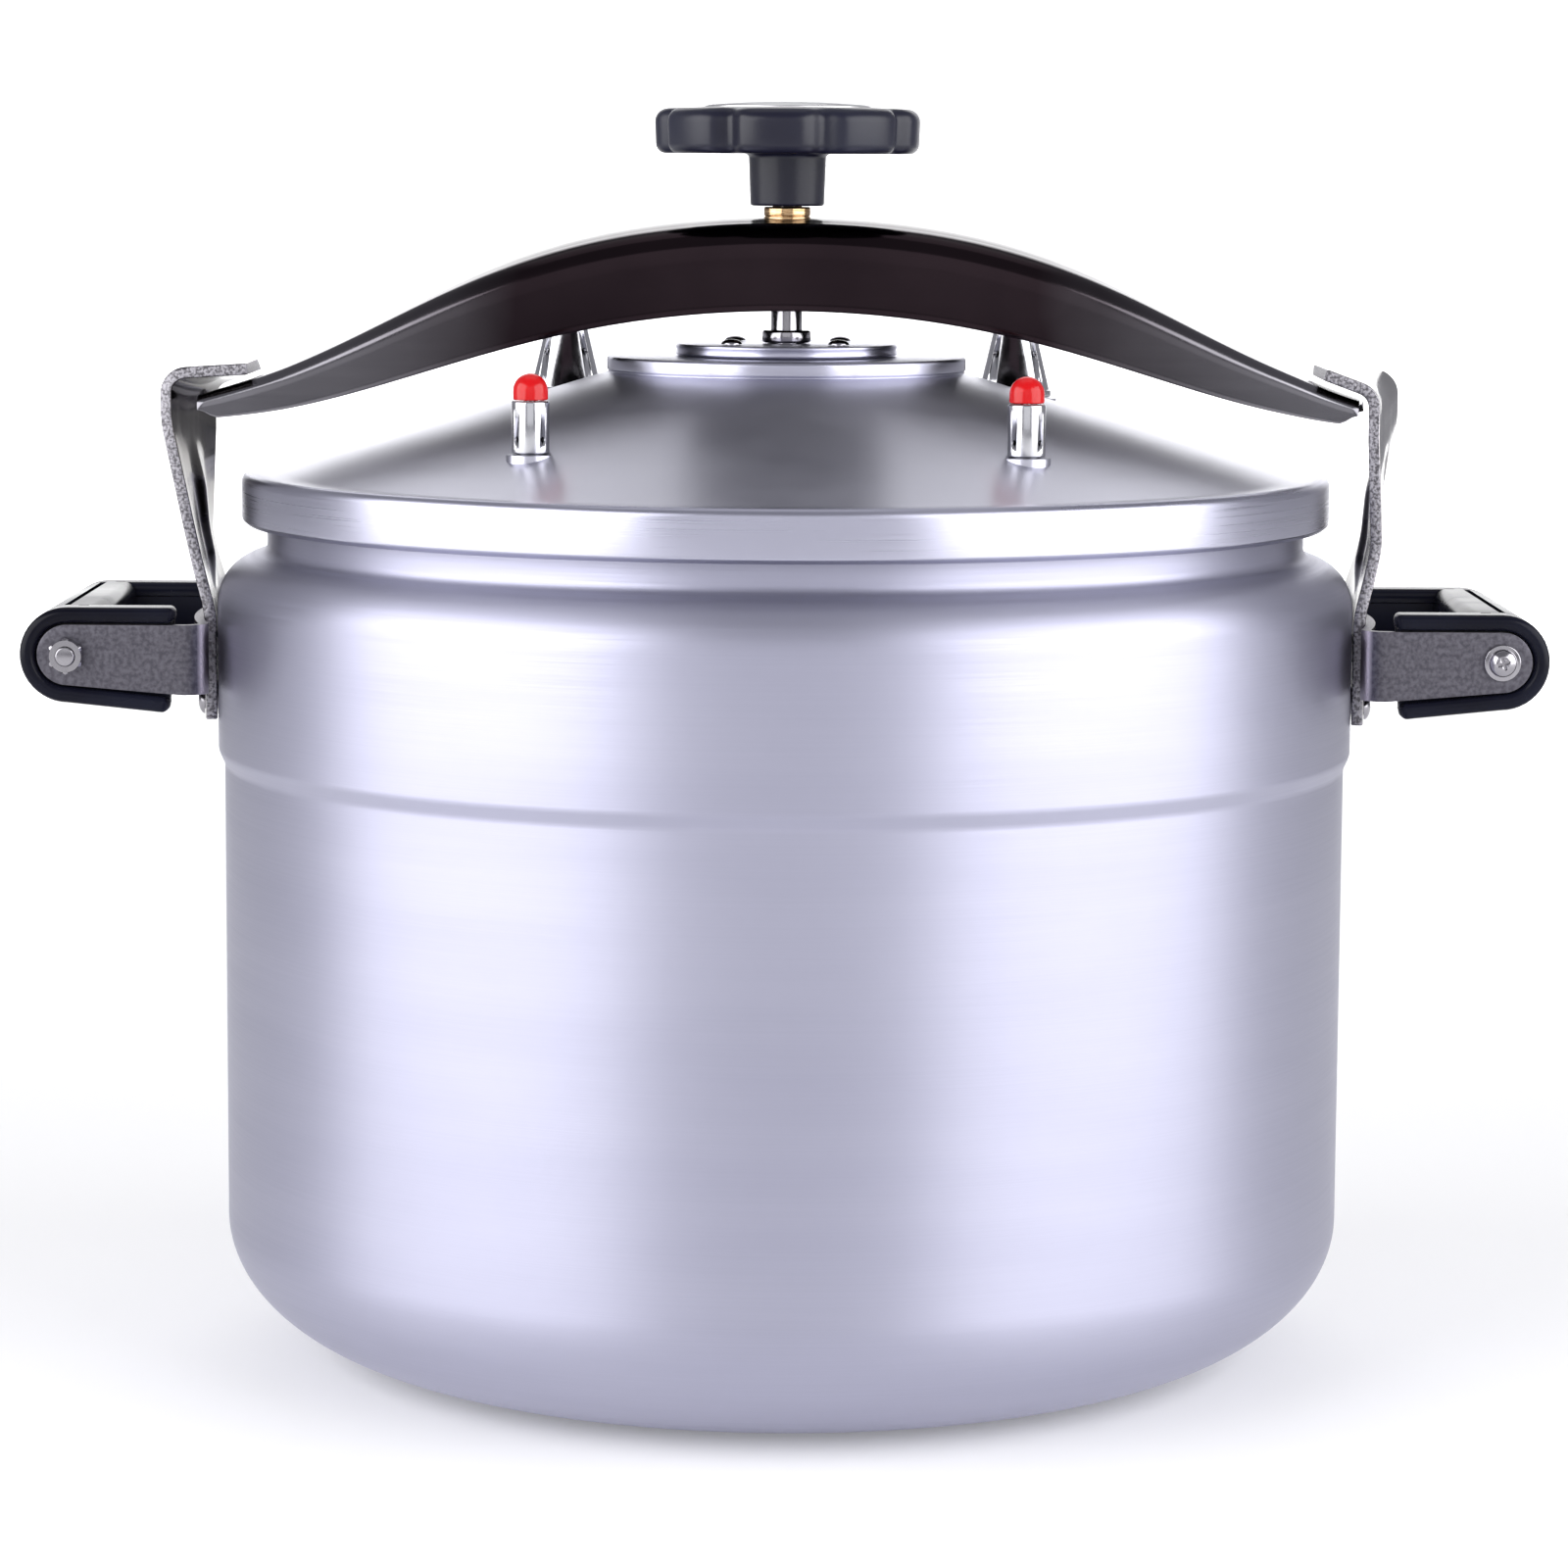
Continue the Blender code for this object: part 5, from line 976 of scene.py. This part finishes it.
for side, turn in SIDES:
    across = turn @ Matrix.Translation((BOLT_X, 0.0, BOLT_Z)) @ Matrix.Rotation(math.pi / 2, 4, "X")
    end = -ARM_FACE - NUT_HEIGHT - 0.001
    head = rounded_line([(0.0, ARM_FACE + BOLT_HEAD_HEIGHT, 0), (0.0022, ARM_FACE + BOLT_HEAD_HEIGHT, 0.002),
                         (0.0043, ARM_FACE + 0.0022, 0.0014), (0.0043, ARM_FACE + 0.001, 0.0002),
                         (BOLT_HEAD, ARM_FACE + 0.001, 0.0004), (BOLT_HEAD, ARM_FACE, 0.0002),
                         (BOLT_SHANK, ARM_FACE, 0.0002), (BOLT_SHANK, end, 0.0005), (0.0, end, 0)], 5)
    bolt = turned(side + "_grip_screw", head, POLISHED_STEEL, turns=64, place=across)
    for degrees in SLOT_TURNS:
        slot = rounded_box((-SLOT_HALF_LENGTH, -SLOT_HALF_WIDTH), (SLOT_HALF_LENGTH, SLOT_HALF_WIDTH), 0.0003)
        depth = np.array([ARM_FACE + SLOT_FLOOR, ARM_FACE + SLOT_FLOOR, SLOT_CLEAR, SLOT_CLEAR])[:, None]
        size = np.array([0.0, 1.0, 1.0, 0.0])[:, None]
        grid = np.stack(np.broadcast_arrays(slot[:, 0] * size, slot[:, 1] * size, depth), -1)
        cutter = skin("recess", grid, POLISHED_STEEL)
        cutter.data.transform(across @ Matrix.Rotation(math.radians(degrees), 4, "Z"))
        cross = bolt.modifiers.new("cross", "BOOLEAN")
        cross.object = cutter
        settled(bolt)
        bpy.data.objects.remove(cutter)
    fit(bolt, "pot", "polished_steel", side + "_handle_bolt")
    nut = hexagon(side + "_grip_nut", NUT_ACROSS, -ARM_FACE - NUT_HEIGHT, -ARM_FACE, BOLT_SHANK + 0.0002,
                  POLISHED_STEEL, across)
    fit(nut, "pot", "polished_steel", side + "_handle_nut")


# ---- mount rivets
# Four round-headed steel rivets a side hold the hook to the pot's band. The upper two go through the web of the
# handle bracket as well, and each has a second head inside the pot.
RIVET_SHANK, RIVET_HEAD, RIVET_HEAD_HEIGHT = 0.003, 0.0046, 0.0022
RIVET_ANGLE = 0.014 / BAND_RADIUS
RIVET_INSIDE = BAND_RADIUS - POT_WALL - 0.0009
WEB_OUTSIDE = BRACKET_RADIUS + BRACKET_SHEET / 2 + LAYER_GAP
HOOK_OUTSIDE = BAND_RADIUS + 2 * LAYER_GAP + HOOK_PLATE
UPPER_ROW = 0.2275
RIVET_ROWS = ((UPPER_ROW, WEB_OUTSIDE), (BRACKET_BOTTOM - RIVET_HEAD - 2 * LAYER_GAP, HOOK_OUTSIDE))
for side, turn in SIDES:
    number = 0
    for height, outside in RIVET_ROWS:
        for angle in (-RIVET_ANGLE, RIVET_ANGLE):
            number += 1
            place = (turn @ Matrix.Rotation(angle, 4, "Z") @ Matrix.Translation((0.0, 0.0, height))
                     @ Matrix.Rotation(math.pi / 2, 4, "Y"))
            profile = rivet_profile(RIVET_SHANK, RIVET_HEAD, RIVET_HEAD_HEIGHT, outside, RIVET_INSIDE)
            rivet = turned(f"{side}_hook_rivet_{number}", profile, POLISHED_STEEL, turns=40, place=place)
            fit(rivet, "pot", "polished_steel", f"{side}_mount_rivet_{number}")


# ---- safety valves
# Two small spring valves stand on spot-faced bosses at the front of the lid: a chromed barrel with relief
# ports near its foot, and a red cap on the plunger that shows when it lifts.
BARREL_RADIUS, BARREL_HEIGHT, BARREL_BORE = 0.0057, 0.016, 0.004
LIP_BORE, ORIFICE, BARREL_FLOOR, STUD_RADIUS = 0.002, 0.0015, 0.003, 0.004
RED_HEIGHT, RED_RADIUS, STEM_RADIUS, STEM_SHARE = 0.008, 0.0053, 0.0016, 0.6
VALVE_GAP = 0.0003
PORT_RADIUS, PORT_HEIGHT = 0.001, 0.0045
SPOT_FACE, BOSS_BORE = 0.0074, 0.0045


def valve_chrome():
    """Bright chrome over brass, hardly marked."""
    made = new_finish("valve_chrome", 1.0)
    marks = speckle(made, 150.0, 2.0)
    return coat(made, blend_colour(made, marks, (0.5, 0.5, 0.53), (0.6, 0.6, 0.63)), spread(made, marks, 0.12, 0.2))


def red_plastic():
    """Bright red moulded plastic."""
    made = new_finish("red_plastic", 0.0, Roughness=0.2, Specular_IOR_Level=0.35)
    cloud = speckle(made, 160.0, 2.0)
    colour = blend_colour(made, cloud, (0.46, 0.002, 0.004), (0.56, 0.005, 0.007))
    return coat(made, colour, relief=(cloud, 0.05, 0.0002))


def ported(piece, place, height, radius, reach):
    """Drills four ports, at 45 degrees to the canner's axes."""
    for degrees in (45.0, 135.0):
        turn = Matrix.Rotation(math.radians(degrees), 4, "Z") @ Matrix.Rotation(math.pi / 2, 4, "Y")
        drill(piece, radius, place @ Matrix.Translation((0.0, 0.0, height)) @ turn, reach)


def boss_profile(radius, inner_depth, outer_depth):
    """A flat-topped ring just under a fitting's seat, its foot sunk in the cone of the lid."""
    return rounded_line([(BOSS_BORE, inner_depth, 0), (BOSS_BORE, -0.0001, 0.0002), (radius, -0.0001, 0.0003),
                         (radius, outer_depth, 0), (BOSS_BORE + 0.0001, outer_depth, 0)], 4)


def coil_grid(radius, wire_radius, low, high, coils):
    """Round wire along a helix: middle (R cos t, R sin t, z(t)), wire a round it by w (cos a outwards, sin a up)."""
    turn = np.linspace(0.0, math.tau * coils, 48 * coils)[:, None]
    rise = low + wire_radius + (high - low - 2 * wire_radius) * turn / turn[-1]
    size = np.where((turn == turn[0]) | (turn == turn[-1]), 0.0, wire_radius)
    angle = full_turn(12)
    return round_axis(radius + size * np.cos(angle), rise + size * np.sin(angle), turn)


SPRING_RADIUS, SPRING_WIRE, SPRING_COILS = 0.0027, 0.0004, 4
VALVE_CHROME, RED_PLASTIC = valve_chrome(), red_plastic()
for side in ("left", "right"):
    low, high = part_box(side + "_safety_cap")
    seat = low.z - BARREL_HEIGHT - VALVE_GAP
    stud_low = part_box(side + "_safety_body")[0].z - seat
    place = above((low, high), seat)
    barrel = turned(side + "_valve_barrel", rounded_line([
        (LIP_BORE + 0.0005, BARREL_HEIGHT, 0), (BARREL_RADIUS, BARREL_HEIGHT, 0.0006),
        (BARREL_RADIUS, 0.0003, 0.0004), (STUD_RADIUS, 0.0003, 0.0002), (STUD_RADIUS, stud_low, 0.0004),
        (ORIFICE, stud_low, 0.0003), (ORIFICE, BARREL_FLOOR, 0.0003), (BARREL_BORE, BARREL_FLOOR, 0.0003),
        (BARREL_BORE, BARREL_HEIGHT - 0.0014, 0.0003), (LIP_BORE, BARREL_HEIGHT - 0.0014, 0.0002),
        (LIP_BORE, BARREL_HEIGHT, 0.0002), (LIP_BORE + 0.0004, BARREL_HEIGHT, 0)], 4),
        VALVE_CHROME, turns=72, ring=True, place=place)
    ported(barrel, place, PORT_HEIGHT, PORT_RADIUS, 0.011)
    fit(barrel, "pot", "valve_chrome", side + "_safety_body")
    boss = turned(side + "_valve_boss", boss_profile(SPOT_FACE, -0.004, -0.004), SMOOTH_ALUMINIUM, turns=72,
                  ring=True, place=place)
    fit(boss, "pot", "smooth_aluminium")
    cap_low = BARREL_HEIGHT + VALVE_GAP
    stem_top = cap_low + RED_HEIGHT * STEM_SHARE + VALVE_GAP
    quarter = quarter_turn(14)
    dome = np.hstack([RED_RADIUS * np.sin(quarter), cap_low + RED_HEIGHT - RED_RADIUS * (1 - np.cos(quarter))])
    inside = np.array([[RED_RADIUS, cap_low + 0.0003], [RED_RADIUS - 0.0003, cap_low], [STEM_RADIUS, cap_low],
                       [STEM_RADIUS, stem_top], [0.0, stem_top]])
    red_cap = turned(side + "_red_cap", np.vstack([dome, inside]), RED_PLASTIC, turns=64, place=place)
    fit(red_cap, side + "_safety_plunger", "red_plastic", side + "_safety_cap")
    foot, top = (corner.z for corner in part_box(side + "_safety_spring"))
    grid = coil_grid(SPRING_RADIUS, SPRING_WIRE, foot, top, SPRING_COILS)
    coil = skin(side + "_valve_spring", grid, POLISHED_STEEL)
    coil.data.transform(above((low, high), 0.0))
    fit(coil, side + "_safety_plunger", "spring_steel", side + "_safety_spring")
    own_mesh(coil)


# ---- limit weights
# At the back of the lid a loose chromed cone sits on each vent pipe. It is bored to fit over the pipe, has four
# small ports near its top, and lifts when the pressure is reached.
WEIGHT_BASE, WEIGHT_TOP, WEIGHT_HEIGHT = 0.0123, 0.0066, 0.024
PIPE_FLANGE, PIPE_RADIUS = 0.0085, 0.004
WEIGHT_PORT_RADIUS, WEIGHT_PORT_HEIGHT = 0.0013, 0.0145
WEIGHT_ROOF, WEIGHT_ROOM = 0.0163, 0.0006
VENT_FACE = 0.0141
for side in ("left", "right"):
    low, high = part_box(side + "_limit_weight")
    place = above((low, high), low.z - VALVE_GAP)
    weight = turned(side + "_vent_weight", rounded_line([
        (0.0, WEIGHT_HEIGHT, 0), (WEIGHT_TOP, WEIGHT_HEIGHT, 0.001), (WEIGHT_BASE - 0.0006, 0.0028, 0.0008),
        (WEIGHT_BASE, 0.0024, 0.0003), (WEIGHT_BASE, 0.0003, 0.0005), (PIPE_FLANGE + WEIGHT_ROOM, 0.0003, 0.0003),
        (PIPE_FLANGE + WEIGHT_ROOM, 0.0033, 0.0005), (PIPE_RADIUS + WEIGHT_ROOM, 0.009, 0.0005),
        (PIPE_RADIUS + WEIGHT_ROOM, WEIGHT_ROOF, 0.0004), (0.0, WEIGHT_ROOF, 0)], 5),
        VALVE_CHROME, turns=96, place=place)
    ported(weight, place, WEIGHT_PORT_HEIGHT, WEIGHT_PORT_RADIUS, 0.02)
    fit(weight, side + "_limit_weight", "valve_chrome", side + "_limit_weight")
    boss = turned(side + "_vent_boss", boss_profile(VENT_FACE, -0.0045, -0.006), SMOOTH_ALUMINIUM, turns=96,
                  ring=True, place=place)
    fit(boss, "pot", "smooth_aluminium")


# ---- inner fittings
# What stays under the lid, in the bores and in the knob keeps its plain solid: brass nuts and vent pipes,
# steel screens and plungers.
INNER_FITTINGS = {"_safety_nut": BRASS, "_vent_nut": BRASS, "_vent_pipe": BRASS, "_vent_screen": POLISHED_STEEL,
                  "_safety_plunger": POLISHED_STEEL}
inner_nodes = {side + part: finish for side in ("left", "right") for part, finish in INNER_FITTINGS.items()}
inner_nodes["knob_nut"] = POLISHED_STEEL
for node, finish in inner_nodes.items():
    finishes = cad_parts[node].data.materials
    finishes.clear()
    finishes.append(finish)
